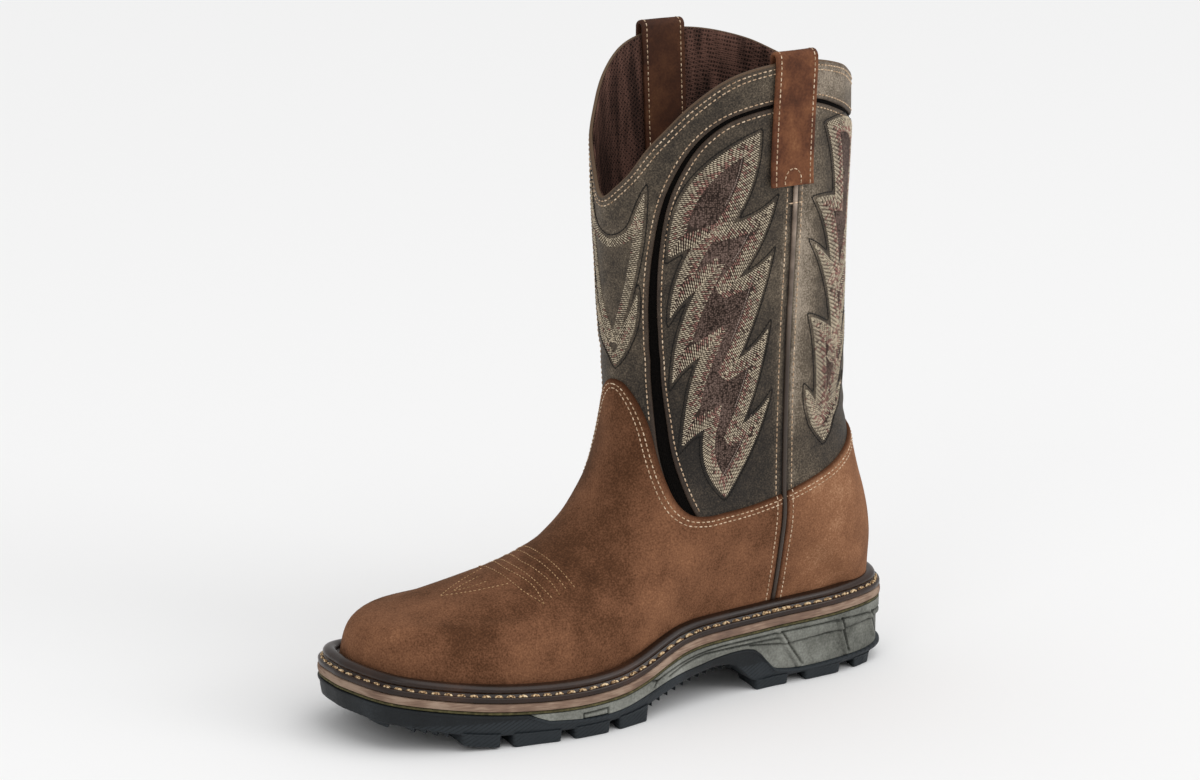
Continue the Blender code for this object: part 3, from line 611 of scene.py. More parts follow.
def stitch_row(store, path, outs, pitch, length, radius, sides=6):
    """Stitches along a path on the surface."""
    path = np.asarray(path)
    outs = np.asarray(outs)
    run = lengths(path)
    count = max(int(run[-1] / (pitch * MM)), 1)
    step = run[-1] / count
    for index in range(count):
        ends = (np.array([0.5, 0.5]) + np.array([-0.5, 0.5]) * length / pitch + index) * step
        points = np.stack([np.interp(ends, run, path[:, axis]) for axis in range(3)], 1)
        out = outs[int(np.searchsorted(run, ends.mean()).clip(0, len(outs) - 1))]
        thread(store, points[0], points[1], out, radius * MM, sides)


def finish_threads(store, name, look):
    """Make the stitches in a store one piece."""
    verts, faces, shades = threads.pop(store)
    data = bpy.data.meshes.new(name)
    data.from_pydata([tuple(vert) for vert in verts], [], faces)
    if shades[0]:
        layer = data.attributes.new("thread", "FLOAT_COLOR", "POINT")
        layer.data.foreach_set("color", np.array(shades, dtype=np.float32).ravel())
    data.shade_smooth()
    add_piece(name, data, look)


def waxed_thread(name, stops, grain):
    """Twisted sewing thread: dull wax, with light and dark plies."""
    made, tree, shader, where = surface(name, 0.6)
    ply = add(tree, "TexNoise", {"Scale": per_mm(grain), "Detail": 2.0}, {"Vector": where})
    tones = add(tree, "ValToRGB", {"stops": stops}, {"Fac": ply})
    lead(tree, shader, {"Base Color": tones})
    return made


random.seed(4)
WELT_STITCH_INSET = 2.3
WELT_STITCH_PITCH = 6.2
WELT_STITCH_SHARE = 0.74
WELT_THREAD = 0.74
WELT_STEPS = 2400
# First and last station of the tangle, its loops for each stitch and their thread's radius
TANGLE = (68.0, 86.0)
TANGLE_LOOPS = 6
TANGLE_THREAD = 0.5
edge = sole_edge(WELT_STITCH_INSET, WELT_STEPS)
height = midsole_top(edge[:, 0]) + 0.3 + WELT_WALL + 0.1
path = spots(np.column_stack([edge, height]))
side_step = spots(np.column_stack([sole_edge(WELT_STITCH_INSET - 1.0, WELT_STEPS), height])) - path
run = np.linalg.norm(np.diff(np.vstack([path, path[:1]]), axis=0), axis=1).sum()
count = int(run / (WELT_STITCH_PITCH * MM))
for index in range(count):
    start = int(index * WELT_STEPS / count)
    end = int((index + WELT_STITCH_SHARE) * WELT_STEPS / count) % WELT_STEPS
    station, side = edge[start]
    tangled = side > 0 and TANGLE[0] < station < TANGLE[1]
    for ply in (-1, 1):
        drift = 0.75 * ply + random.uniform(-0.15, 0.15)
        drift_end = -0.55 * ply + random.uniform(-0.15, 0.15)
        thread("welt", path[start] + side_step[start] * drift, path[end] + side_step[end] * drift_end,
               (0.0, 0.0, 1.0), WELT_THREAD * MM)
    for _ in range(TANGLE_LOOPS if tangled else 0):
        shift = np.array([random.uniform(-1.3, 1.3), random.uniform(-1.2, 1.2),
                          random.uniform(0.2, 0.7)]) * MM
        thread("welt", path[start] + shift, path[end] - shift * (1.0, 1.0, -1.0),
               (0.0, 0.0, 1.0), TANGLE_THREAD * MM)
welt_thread = waxed_thread("waxed two-ply thread, cream and brown",
                           ((0.38, "#463020"), (0.5, "#b18e64"), (0.62, "#e8d2ac")), 1.1)
finish_threads("welt", "welt_stitching", welt_thread)

# Insole: a padded foot bed covered in brown fabric, loose inside the boot. It lies within the welt's
# opening, deep down where little light falls.
INSOLE_INSET = 16.0
insole_rows = layer_rows("insole")
edge = sole_edge(INSOLE_INSET)
top = smooth(insole_rows, 3)(edge[:, 0])
low = smooth(insole_rows, 4)(edge[:, 0])
insole = sole_layer(((INSOLE_INSET + 1.5, low), (INSOLE_INSET + 0.1, low + 0.6), (INSOLE_INSET, top - 1.6),
                     (INSOLE_INSET + 0.5, top - 0.6), (INSOLE_INSET + 2.0, top)))
# Knitted fabric: soft brown loops with dark gaps
fabric, tree, shader, where = surface("brown knitted fabric", 0.95, 0.1)
weave = add(tree, "TexVoronoi", {"Scale": per_mm(1.5)}, {"Vector": where})
tones = add(tree, "ValToRGB", {"stops": ((0.1, "#4a3a2e"), (0.7, "#231b16"))}, {"Fac": weave})
bump = add(tree, "Bump", {"Strength": 0.6, "Distance": 0.0005}, {"Height": weave})
lead(tree, shader, {"Base Color": tones, "Normal": bump})
finish_piece("insole_foot_bed", insole, fabric, ["insole"])

# Lasted form: the upper's outer skin, taken from the frame and made smooth. Every leather piece is
# a part of this form between drawn lines, raised by the leather's thickness.
FORM_LEVELS = 3
# Station of the shaft's axis, turn of its front in degrees, and millimetres to a degree round it
AXIS = 94.0
FRONT = 5.0
DEGREE = 0.95


def outer_skin(name):
    """Outer skin of a hollow frame node, as quads."""
    mesh = bmesh.new()
    mesh.from_mesh(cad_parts[name].data)
    bmesh.ops.remove_doubles(mesh, verts=mesh.verts, dist=0.000002)
    bmesh.ops.dissolve_degenerate(mesh, edges=mesh.edges, dist=0.000002)
    outward = [face for face in mesh.faces if face.normal.x > 0.9]
    seed = max(outward, key=lambda face: face.calc_center_median().x)
    skin = {seed}
    waiting = [seed]
    while waiting:
        face = waiting.pop()
        for other in {item for edge in face.edges for item in edge.link_faces} - skin:
            if face.normal.dot(other.normal) > 0.5 and other.normal.z > -0.9:
                skin.add(other)
                waiting.append(other)
    bmesh.ops.delete(mesh, geom=[face for face in mesh.faces if face not in skin], context="FACES")
    bmesh.ops.dissolve_degenerate(mesh, edges=mesh.edges, dist=0.0026)
    bmesh.ops.join_triangles(mesh, faces=mesh.faces, angle_face_threshold=1.5, angle_shape_threshold=1.6)
    return mesh


def smooth_through(mesh, levels):
    """Subdivide a bmesh into a smooth surface that still passes through its points."""
    data = bpy.data.meshes.new("form")
    mesh.to_mesh(data)
    mesh.free()
    made = bpy.data.objects.new("form", data)
    bpy.context.scene.collection.objects.link(made)
    step = made.modifiers.new("smooth", "SUBSURF")
    step.levels = step.render_levels = 1
    goal = coordinates(data)
    for _ in range(5):
        bpy.context.view_layer.update()
        reached = coordinates(made.evaluated_get(bpy.context.evaluated_depsgraph_get()).data)[:len(goal)]
        data.vertices.foreach_set("co", (coordinates(data) + goal - reached).ravel())
        data.update()
    step.levels = step.render_levels = levels
    bpy.context.view_layer.objects.active = made
    bpy.ops.object.modifier_apply(modifier=step.name)
    dense = bmesh.new()
    dense.from_mesh(made.data)
    bpy.data.objects.remove(made)
    return dense


form = smooth_through(outer_skin("upper"), FORM_LEVELS)
form.normal_update()
form_out = np.array([vert.normal for vert in form.verts])
form_points = np.array([vert.co for vert in form.verts])


def boot_chart(points):
    """Stations, sides and heights of points, and their turns about the shaft in degrees."""
    station = BACK - points[:, 1] / MM
    side = points[:, 0] / MM
    return station, side, points[:, 2] / MM, np.degrees(np.arctan2(side, station - AXIS))


def from_front(turn):
    """Degrees from the front of the shaft, positive to the outer side."""
    return (turn - FRONT + 180.0) % 360.0 - 180.0


station, side, height, turn = boot_chart(form_points)
# Creases pressed into the form: middle turn, height, half length in degrees, half width, depth
CREASES = (
    (5.0, 176.0, 34.0, 5.0, 1.0),
    (10.0, 190.0, 26.0, 6.0, 0.5),
    (150.0, 137.0, 26.0, 4.0, 0.9),
    (-150.0, 137.0, 26.0, 4.0, 0.9),
    (165.0, 149.0, 30.0, 5.0, 0.5),
    (62.0, 118.0, 24.0, 6.0, 0.5),
    (-62.0, 118.0, 24.0, 6.0, 0.5),
)
press = np.zeros(len(form_points))
for at, level, reach, width, depth in CREASES:
    away = (turn - at + 180.0) % 360.0 - 180.0
    press += depth * np.exp(-(away / reach) ** 2 - ((height - level) / width) ** 2)
# Toe break across the vamp: station, half width, depth
for at, width, depth in ((196.0, 6.0, 0.5), (208.0, 7.0, 0.4), (183.0, 6.0, 0.4)):
    press += depth * np.exp(-((station + 0.15 * side - at) / width) ** 2) * (height < 100.0)
# Slight waves all over: radians for each millimetre along, across and up, and at the start
for along, across, up, begin in ((0.055, 0.062, 0.043, 0.4), (-0.034, 0.122, 0.05, 1.9),
                                 (0.083, -0.094, 0.071, 3.1)):
    press += 0.16 * np.sin(along * station + across * side + up * height + begin)
form_points = form_points - form_out * (press * MM)[:, None]
for vert, point in zip(form.verts, form_points):
    vert.co = point
form.normal_update()
out_layer = form.verts.layers.float_vector.new("out")
for vert in form.verts:
    vert[out_layer] = vert.normal

# Channel cut in the shaft, in degrees from the front and height: along it the form needs finer cells
CHANNEL_LINE = (
    (42.0, 96.0),
    (36.0, 108.0),
    (30.0, 122.0),
    (25.5, 137.0),
    (22.5, 156.0),
    (21.5, 182.0),
    (22.0, 208.0),
    (24.5, 234.0),
    (29.0, 256.0),
    (36.0, 273.0),
    (45.0, 287.0),
    (56.0, 296.5),
    (68.0, 301.5),
    (84.0, 304.5),
    (100.0, 305.0),
    (112.0, 303.5),
    (130.0, 297.0),
    (150.0, 288.5),
    (165.0, 284.0),
    (180.0, 282.5),
)
# Half width of the channel by height
CHANNEL_WIDTH = (
    (90.0, 2.9),
    (140.0, 2.7),
    (180.0, 2.4),
    (215.0, 1.8),
    (250.0, 1.2),
    (290.0, 0.95),
    (310.0, 0.95),
)


def open_curve(points, steps):
    """Open Catmull-Rom curve through the points."""
    points = np.asarray(points, dtype=float)
    padded = np.vstack([2 * points[0] - points[1], points, 2 * points[-1] - points[-2]])
    return np.vstack([curve_spans(padded[:-3], padded[1:-2], padded[2:-1], padded[3:], steps), points[-1:]])


channel_curve = open_curve(CHANNEL_LINE, 6)


def refine(reach, lowest):
    """Split in four the form's cells that lie near the channel, above a height."""
    middles = np.array([face.calc_center_median() for face in form.faces])
    _, _, level, turn = boot_chart(middles)
    flat = np.column_stack([np.abs(from_front(turn)) * DEGREE, level])
    near = (line_distance(flat, channel_curve * (DEGREE, 1.0)) < reach) & (level > lowest)
    cells = [face for face, close in zip(form.faces, near) if close]
    edges = list({edge for face in cells for edge in face.edges})
    bmesh.ops.subdivide_edges(form, edges=edges, cuts=1, use_grid_fill=True)


refine(6.0, 85.0)
refine(4.0, 205.0)
form.verts.ensure_lookup_table()
form_points = np.array([vert.co for vert in form.verts])
station, side, height, turn = boot_chart(form_points)
centred = from_front(turn)
chart = np.column_stack([np.abs(centred) * DEGREE, height])

# Upper edge of the vamp and counter: degrees from the front, height
SEAM_LINE = (
    (0.0, 164.0),
    (5.0, 162.8),
    (10.0, 158.0),
    (15.0, 150.5),
    (19.5, 141.0),
    (24.0, 128.5),
    (29.0, 116.5),
    (35.0, 105.5),
    (41.0, 99.5),
    (49.0, 97.5),
    (60.0, 98.2),
    (85.0, 101.0),
    (103.0, 104.5),
    (126.0, 112.0),
    (149.0, 122.0),
    (168.0, 129.5),
    (180.0, 131.0),
)
seam_height = smooth(SEAM_LINE)
half_turn = np.linspace(0.0, 180.0, 181)
seam_curve = np.column_stack([half_turn * DEGREE, seam_height(half_turn)])
seam_inward = line_distance(chart, seam_curve) * np.where(height < seam_height(np.abs(centred)), 1.0, -1.0)
rim = np.array([vert.co for vert in form.verts if vert.is_boundary and vert.co.z > 0.2])
_, _, rim_height, rim_turn = boot_chart(rim)
order = np.argsort(from_front(rim_turn))
collar_turns = from_front(rim_turn)[order]
collar_heights = rim_height[order]


def collar_height(degrees):
    """Height of the collar's edge, by degrees from the front."""
    return np.interp(degrees, collar_turns, collar_heights, period=360.0)


full_turn = np.linspace(-180.0, 180.0, 361)
collar_line = np.column_stack([full_turn * DEGREE, collar_height(full_turn)])
collar_inward = line_distance(np.column_stack([centred * DEGREE, height]), collar_line)


def cut_panel(inward, lay, marks=None):
    """Piece of leather laid on the form where it lies inside a line, with a rounded edge.

    Inward is each form point's distance in from the line. The lay is a base, a thickness, the
    underside and the width of the rounding: the top lies at base plus thickness above the form
    and falls to base at the edge.
    """
    base, thick, under, edge_round = lay
    mesh = form.copy()
    depth = mesh.verts.layers.float.new("inward")
    for vert, value in zip(mesh.verts, inward):
        vert[depth] = value
    for name, values in (marks or {}).items():
        layer = mesh.verts.layers.float.new(name)
        # A new layer moves the others, so this one is looked up again
        depth = mesh.verts.layers.float["inward"]
        for vert, value in zip(mesh.verts, values):
            vert[layer] = value
    out = mesh.verts.layers.float_vector["out"]
    for level in (0.0, edge_round * 0.1, edge_round * 0.35, edge_round):
        made = []
        for edge in [item for item in mesh.edges
                     if (item.verts[0][depth] - level) * (item.verts[1][depth] - level) < 0.0]:
            a, b = edge.verts
            vert = bmesh.utils.edge_split(edge, a, (level - a[depth]) / (b[depth] - a[depth]))[1]
            vert[depth] = level
            made.append(vert)
        fresh = set(made)
        for face in {face for vert in made for face in vert.link_faces}:
            pair = [vert for vert in face.verts if vert in fresh]
            if len(pair) != 2:
                continue
            if not any(edge.other_vert(pair[0]) == pair[1] for edge in pair[0].link_edges):
                bmesh.utils.face_split(face, pair[0], pair[1])
    outside = [face for face in mesh.faces if sum(vert[depth] for vert in face.verts) < 0.0]
    bmesh.ops.delete(mesh, geom=outside, context="FACES")
    raised = bmesh.ops.extrude_face_region(mesh, geom=mesh.faces[:], use_keep_orig=True)
    tops = {item for item in raised["geom"] if isinstance(item, bmesh.types.BMVert)}
    for vert in mesh.verts:
        share = min(max(vert[depth], 0.0) / edge_round, 1.0)
        lift = base + thick * math.sqrt(1.0 - (1.0 - share) ** 2) if vert in tops else under
        vert.co += Vector(vert[out]).normalized() * lift * MM
    bmesh.ops.recalc_face_normals(mesh, faces=mesh.faces)
    return mesh


# Lining: a brown honeycomb mesh over foam, glued inside the whole upper. It ends just under the
# collar's edge, where its far side shows.
LINING_LAY = (-2.2, 0.35, -2.7, 0.6)
lining = cut_panel(collar_inward - 0.4, LINING_LAY)
# Spacer mesh: small dark cells in a brown net, in upright streaks where it was brushed
mesh_cloth, tree, shader, where = surface("brown honeycomb spacer mesh", 0.9, 0.1)
slanted = add(tree, "Mapping", {"Rotation": (0.6, 0.6, 0.6)}, {"Vector": where})
cells = add(tree, "TexVoronoi", {"Scale": per_mm(1.5), "Randomness": 0.2, "feature": "DISTANCE_TO_EDGE"},
            {"Vector": slanted})
upright = add(tree, "Mapping", {"Scale": (per_mm(7.0), per_mm(7.0), per_mm(40.0))}, {"Vector": where})
fuzz = add(tree, "TexNoise", {"Scale": 1.0, "Detail": 3.0}, {"Vector": upright})
shade = add(tree, "Math", {"operation": "MULTIPLY_ADD", 1: 1.1}, {0: cells, 2: fuzz})
tones = add(tree, "ValToRGB", {"stops": ((0.42, "#674a40"), (0.7, "#3c2a24"), (0.95, "#120b09"))},
            {"Fac": shade})
bump = add(tree, "Bump", {"Strength": 0.9, "Distance": 0.0008, "invert": True}, {"Height": cells})
lead(tree, shader, {"Base Color": tones, "Normal": bump})
finish_piece("lining_mesh", lining, mesh_cloth, sharp=60, kept=0.2)

# Shaft: distressed grey-brown leather in front, back and side panels. A curved channel is cut in it
# on each side and runs on behind the strap, where a black stretch strip shows.
SHAFT_LAY = (-0.8, 0.8, -1.8, 1.0)
# How far the shaft runs down behind the vamp and counter
SHAFT_TUCK = 14.0
channel_away = line_distance(chart, channel_curve * (DEGREE, 1.0)) - smooth(CHANNEL_WIDTH)(height)
above_seam = height - seam_height(np.abs(centred))
shaft_inward = np.minimum.reduce([collar_inward + 0.001, channel_away, above_seam + SHAFT_TUCK])
# Side seam on the outer (1) and inner (-1) side: height, station
SIDE_SEAM = {
    1: ((42.0, 79.0), (104.5, 80.5), (264.0, 82.5)),
    -1: ((42.0, 79.0), (104.5, 80.5), (264.0, 91.0)),
}


def side_seam(height, outer):
    """Station of the side seam on the outer (1) or inner (-1) side at a height."""
    rows = np.array(SIDE_SEAM[outer])
    return np.interp(height, rows[:, 0], rows[:, 1])


seam_station = np.where(side > 0, side_seam(height, 1), side_seam(height, -1))
# Lighter and darker places, partly rubbed and stained leather and partly painted light and shade:
# degrees from the front, height, reach across, reach up, lightening
SHAFT_TONES = (
    (0.0, 215.0, 26.0, 60.0, 0.16),
    (0.0, 250.0, 40.0, 22.0, 0.08),
    (60.0, 128.0, 45.0, 30.0, -0.24),
    (40.0, 180.0, 22.0, 60.0, -0.1),
    (82.0, 215.0, 8.0, 70.0, -0.06),
    (106.0, 225.0, 10.0, 70.0, 0.36),
    (108.0, 150.0, 12.0, 40.0, 0.2),
    (70.0, 313.0, 60.0, 12.0, 0.08),
    (130.0, 312.0, 36.0, 16.0, 0.4),
    (150.0, 140.0, 40.0, 25.0, -0.06),
    (170.0, 210.0, 25.0, 60.0, 0.12),
)
shaft_wear_and_light = np.full(len(height), 0.5)
for at, level, reach, rise, lighter in SHAFT_TONES:
    shaft_wear_and_light += lighter * np.exp(-((np.abs(centred) - at) / reach) ** 2 - ((height - level) / rise) ** 2)
# Pale beside the piping, and painted shade along it, in the crevice of the seam
groove = np.abs(station - seam_station)
shaft_wear_and_light += 0.12 * np.exp(-(((groove - 4.5) / 1.6) ** 2)) - 0.45 * np.exp(-((groove / 2.2) ** 2))
shaft = cut_panel(shaft_inward, SHAFT_LAY, {"tone": shaft_wear_and_light, "rim": collar_inward})


def blend(tree, base, measure, span, code, most=1.0):
    """Blend a colour into another as a measure runs over a span, up to a greatest share."""
    share = add(tree, "MapRange", {"From Min": span[0], "From Max": span[1], "To Max": most},
                {"Value": measure})
    return add(tree, "Mix", {"data_type": "RGBA", 7: colour(code)}, {0: share, 6: base}).outputs[2]


# Distressed leather: grey-brown, rubbed pale in clouds, with a raw pale rim and painted shade along
# its cut edges, where they fall away into the channel. Its grain is drawn coarser than it is, to show.
distressed, tree, shader, where = surface("distressed grey-brown leather", 0.62, 0.2)
tone = add(tree, "Attribute", {"attribute_name": "tone"})
cloud = add(tree, "TexNoise", {"Scale": per_mm(34.0), "Detail": 5.0, "Roughness": 0.62},
            {"Vector": where})
rub = add(tree, "TexNoise", {"Scale": per_mm(7.0), "Detail": 6.0, "Roughness": 0.7}, {"Vector": where})
grain = add(tree, "TexNoise", {"Scale": per_mm(0.8), "Detail": 2.0, "Roughness": 0.5}, {"Vector": where})
mix = add(tree, "Math", {"operation": "MULTIPLY_ADD", 1: 0.6}, {0: cloud, 2: tone.outputs["Fac"]})
mix = add(tree, "Math", {"operation": "MULTIPLY_ADD", 1: 0.55}, {0: rub, 2: mix})
mix = add(tree, "Math", {"operation": "MULTIPLY_ADD", 1: 0.9}, {0: grain, 2: mix})
mix = add(tree, "MapRange", {"From Min": 1.03, "From Max": 2.03}, {"Value": mix})
SHAFT_SHADES = ((0.0, "#141110"), (0.3, "#29241f"), (0.5, "#40382f"), (0.72, "#605547"), (1.0, "#998c7c"))
hide = add(tree, "ValToRGB", {"stops": SHAFT_SHADES}, {"Fac": mix})
rim_mark = add(tree, "Attribute", {"attribute_name": "rim"}).outputs["Fac"]
edged = blend(tree, hide, rim_mark, (0.9, 0.2), "#8d7154")
# Painted shade along every cut edge, the collar's rim too
edge_shade_mark = add(tree, "Attribute", {"attribute_name": "inward"}).outputs["Fac"]
edged = blend(tree, edged, edge_shade_mark, (2.4, 0.2), "#41332a", 0.7)
gloss = add(tree, "MapRange", {"To Min": 0.5, "To Max": 0.72}, {"Value": rub})
bump = add(tree, "Bump", {"Strength": 0.3, "Distance": 0.0004}, {"Height": grain})
coarse = add(tree, "Bump", {"Strength": 0.25, "Distance": 0.0012}, {"Height": rub, "Normal": bump})
lead(tree, shader, {"Base Color": edged, "Roughness": gloss, "Normal": coarse})
shaft = finish_piece("shaft_leather", shaft, distressed, ["upper"], sharp=60, kept=0.42)

# Stretch strip: black ribbed elastic sewn behind the channel, so that the shaft gives at the calf.
# It lies a little below the leather, so the channel's cut edges stand clear of it.
STRIP_LAY = (-1.3, 0.3, -1.7, 0.6)
STRIP_TUCK = 10.0
strip = cut_panel(np.minimum(-channel_away - 0.02, above_seam + STRIP_TUCK), STRIP_LAY)
# Ribbed elastic: dead black, with cords along it
elastic, tree, shader, where = surface("black ribbed elastic", 0.9, 0.05)
edge_mark = add(tree, "Attribute", {"attribute_name": "inward"})
cords = add(tree, "Math", {"operation": "MULTIPLY", 1: 9.0}, {0: edge_mark.outputs["Fac"]})
rib = add(tree, "Math", {"operation": "SINE"}, {0: cords})
fuzz = add(tree, "TexNoise", {"Scale": per_mm(0.8), "Detail": 2.0}, {"Vector": where})
tones = add(tree, "ValToRGB", {"stops": ((0.3, "#050404"), (0.7, "#100d0b"))}, {"Fac": fuzz})
bump = add(tree, "Bump", {"Strength": 0.5, "Distance": 0.0003}, {"Height": rib})
lead(tree, shader, {"Base Color": tones, "Normal": bump})
finish_piece("stretch_strip", strip, elastic, sharp=60, kept=0.3)

# Vamp: thick oiled nubuck over the whole forefoot, sewn over the shaft with two rows. Its nap is
# brushed in clouds, its top edge is burnished red-brown and it is rubbed pale over the toe.
NUBUCK_LAY = (0.3, 1.5, 0.05, 1.4)
# Half the gap at the side seam, where the piping lies
SIDE_GAP = 1.1
# Lighter and darker places on the foot, partly brushed and rubbed nubuck and partly painted light
# and shade: station, side either way, reach along, reach across, lightening
VAMP_TONES = (
    (298.0, 10.0, 12.0, 60.0, 0.06),
    (282.0, 6.0, 24.0, 26.0, 0.1),
    (261.0, 34.0, 17.0, 15.0, -0.13),
    (205.0, 8.0, 70.0, 26.0, -0.13),
    (178.0, 32.0, 17.0, 12.0, -0.09),
    (232.0, 46.0, 12.0, 10.0, 0.12),
    (150.0, 47.0, 28.0, 11.0, 0.16),
    (155.0, 19.0, 14.0, 9.0, -0.12),
    (164.0, 2.0, 14.0, 9.0, 0.1),
    (45.0, 40.0, 34.0, 40.0, 0.26),
    (86.0, 44.0, 14.0, 26.0, -0.04),
)
vamp_wear_and_light = np.full(len(height), 0.5)
for at, across, reach, wide, lighter in VAMP_TONES:
    vamp_wear_and_light += lighter * np.exp(-((station - at) / reach) ** 2 - ((np.abs(side) - across) / wide) ** 2)
vamp_inward = np.minimum(seam_inward, station - seam_station - SIDE_GAP)
vamp = cut_panel(vamp_inward, NUBUCK_LAY, {"tone": vamp_wear_and_light})
# Oiled nubuck: a matt brown nap in soft clouds, with a slight sheen at grazing angles and a burnished
# edge. The nap is drawn coarser than it is, to show.
nubuck, tree, shader, where = surface("oiled brown nubuck", 0.85, 0.1)
shader.inputs["Sheen Weight"].default_value = 0.1
shader.inputs["Sheen Roughness"].default_value = 0.5
shader.inputs["Sheen Tint"].default_value = colour("#c79a72")
tone = add(tree, "Attribute", {"attribute_name": "tone"})
cloud = add(tree, "TexNoise", {"Scale": per_mm(42.0), "Detail": 5.0, "Roughness": 0.6}, {"Vector": where})
blot = add(tree, "TexNoise", {"Scale": per_mm(11.0), "Detail": 5.0, "Roughness": 0.65}, {"Vector": where})
nap = add(tree, "TexNoise", {"Scale": per_mm(0.9), "Detail": 2.0, "Roughness": 0.5}, {"Vector": where})
mix = add(tree, "Math", {"operation": "MULTIPLY_ADD", 1: 0.7}, {0: cloud, 2: tone.outputs["Fac"]})
mix = add(tree, "Math", {"operation": "MULTIPLY_ADD", 1: 0.4}, {0: blot, 2: mix})
mix = add(tree, "Math", {"operation": "MULTIPLY_ADD", 1: 0.7}, {0: nap, 2: mix})
mix = add(tree, "MapRange", {"From Min": 0.94, "From Max": 1.94}, {"Value": mix})
NUBUCK_SHADES = ((0.0, "#321d11"), (0.3, "#543623"), (0.5, "#714c36"), (0.72, "#885e43"), (1.0, "#b08768"))
hide = add(tree, "ValToRGB", {"stops": NUBUCK_SHADES}, {"Fac": mix})
edge_mark = add(tree, "Attribute", {"attribute_name": "inward"}).outputs["Fac"]
edged = blend(tree, hide, edge_mark, (2.0, 0.2), "#3f2212", 0.85)
bump = add(tree, "Bump", {"Strength": 0.22, "Distance": 0.0003}, {"Height": nap})
coarse = add(tree, "Bump", {"Strength": 0.2, "Distance": 0.0015}, {"Height": blot, "Normal": bump})
lead(tree, shader, {"Base Color": edged, "Normal": coarse})
vamp = finish_piece("vamp_leather", vamp, nubuck, ["vamp"], sharp=60, kept=0.65)

# Heel counter: the same nubuck round the heel, sewn to the shaft above and meeting the vamp at the
# side seams. Its tones are paler than the vamp's, partly brushed wear and partly painted light.
counter_inward = np.minimum(seam_inward, seam_station - station - SIDE_GAP)
counter = cut_panel(counter_inward, NUBUCK_LAY, {"tone": vamp_wear_and_light})
counter = finish_piece("heel_counter_leather", counter, nubuck, ["heel_counter"], sharp=60)

# Side piping: a leather-covered cord caught in each side seam, from under the strap to the welt. It
# stands higher between the thick foot leathers than along the shaft.
PIPING_RADIUS = 1.2
PIPING_TOP = 268.0
# Where a ray from the side starts, in metres
SIDE_START = 0.15
leather_points = []
leather_faces = []
for piece in (shaft, vamp, counter):
    first = len(leather_points)
    leather_points += [tuple(vert.co) for vert in piece.data.vertices]
    leather_faces += [tuple(first + index for index in face.vertices) for face in piece.data.polygons]
leather = BVHTree.FromPolygons(leather_points, leather_faces)
skin = BVHTree.FromBMesh(form)


def from_side(tree, stations, levels, outer):
    """Points and outward directions on a surface, met from the outer (1) or inner (-1) side."""
    hits = []
    for station, level in np.broadcast(stations, levels):
        start = Vector((SIDE_START * outer, (BACK - station) * MM, level * MM))
        hits.append(tree.ray_cast(start, Vector((-outer, 0.0, 0.0))))
    return np.array([hit[0] for hit in hits]), np.array([hit[1] for hit in hits])


def heading(line):
    """Unit directions along a line of points."""
    along = np.gradient(line, axis=0)
    return along / np.linalg.norm(along, axis=1)[:, None]


def tube(path, outs, radius, sides=8):
    """Closed round cord along a path, as a bmesh."""
    along = heading(path)
    across = np.cross(along, outs)
    across /= np.linalg.norm(across, axis=1)[:, None]
    up = np.cross(across, along)
    mesh = bmesh.new()
    rings = []
    turns = [2 * math.pi * turn / sides for turn in range(sides)]
    for spot, flat, high in zip(path, across, up):
        ring = [spot + (flat * math.cos(a) + high * math.sin(a)) * radius * MM for a in turns]
        rings.append([mesh.verts.new(point) for point in ring])
    for low, high in zip(rings, rings[1:]):
        for turn in range(sides):
            mesh.faces.new((low[turn], low[(turn + 1) % sides], high[(turn + 1) % sides], high[turn]))
    mesh.faces.new(rings[0])
    mesh.faces.new(rings[-1])
    bmesh.ops.recalc_face_normals(mesh, faces=mesh.faces)
    return mesh


# Leather over cord: satin, pale high up and dark below. The pale upper tones are partly a painted
# highlight.
cord_leather, tree, shader, where = surface("leather over cord", 0.42, 0.4)
rub = add(tree, "TexNoise", {"Scale": per_mm(9.0), "Detail": 4.0}, {"Vector": where})
# Pale tones, partly a painted highlight
pale_lit_tones = add(tree, "ValToRGB", {"stops": ((0.3, "#5e5045"), (0.5, "#877668"), (0.7, "#a89686"))},
           {"Fac": rub})
level = add(tree, "SeparateXYZ", {}, {"Vector": where}).outputs["Z"]
darker_below = blend(tree, pale_lit_tones, level, (0.25, 0.17), "#3a2f27")
fine = add(tree, "TexNoise", {"Scale": per_mm(1.2), "Detail": 3.0}, {"Vector": where})
bump = add(tree, "Bump", {"Strength": 0.2, "Distance": 0.0003}, {"Height": fine})
lead(tree, shader, {"Base Color": darker_below, "Normal": bump})
# Height of the welt at the foot of the side seams
seam_low = float(midsole_top(SIDE_SEAM[1][0][1])) + WELT_WALL
for outer, word in ((1, "left"), (-1, "right")):
    levels = np.linspace(PIPING_TOP, seam_low + 3.0, 130)
    path, outs = from_side(skin, side_seam(levels, outer), levels, outer)
    lift = np.interp(levels, (98.0, 106.0), (1.1, 0.55))
    cord = tube(path + outs * (lift * MM)[:, None], outs, PIPING_RADIUS)
    finish_piece("side_piping_" + word, cord, cord_leather, ["side_piping_" + word],
                 sharp=60)

# Pull straps: a flat loop of oiled leather over the collar at each side, sewn down inside and out and
# stitched along both edges. A stitched half-round tab holds the end of the piping under its foot.
STRAP_WIDTH = 25.0
STRAP_WALL = 2.0
STRAP_TOP = 331.0
STRAP_FOOT = 264.0
STRAP_BEND = 322.5
STRAP_GAP = 0.5
STRAP_STEPS = 28
SHAFT_WALL = 2.2
STRAP_STATION = {1: 85.5, -1: 94.0}
ARC = np.linspace(0.0, math.pi, 13)[1:-1]


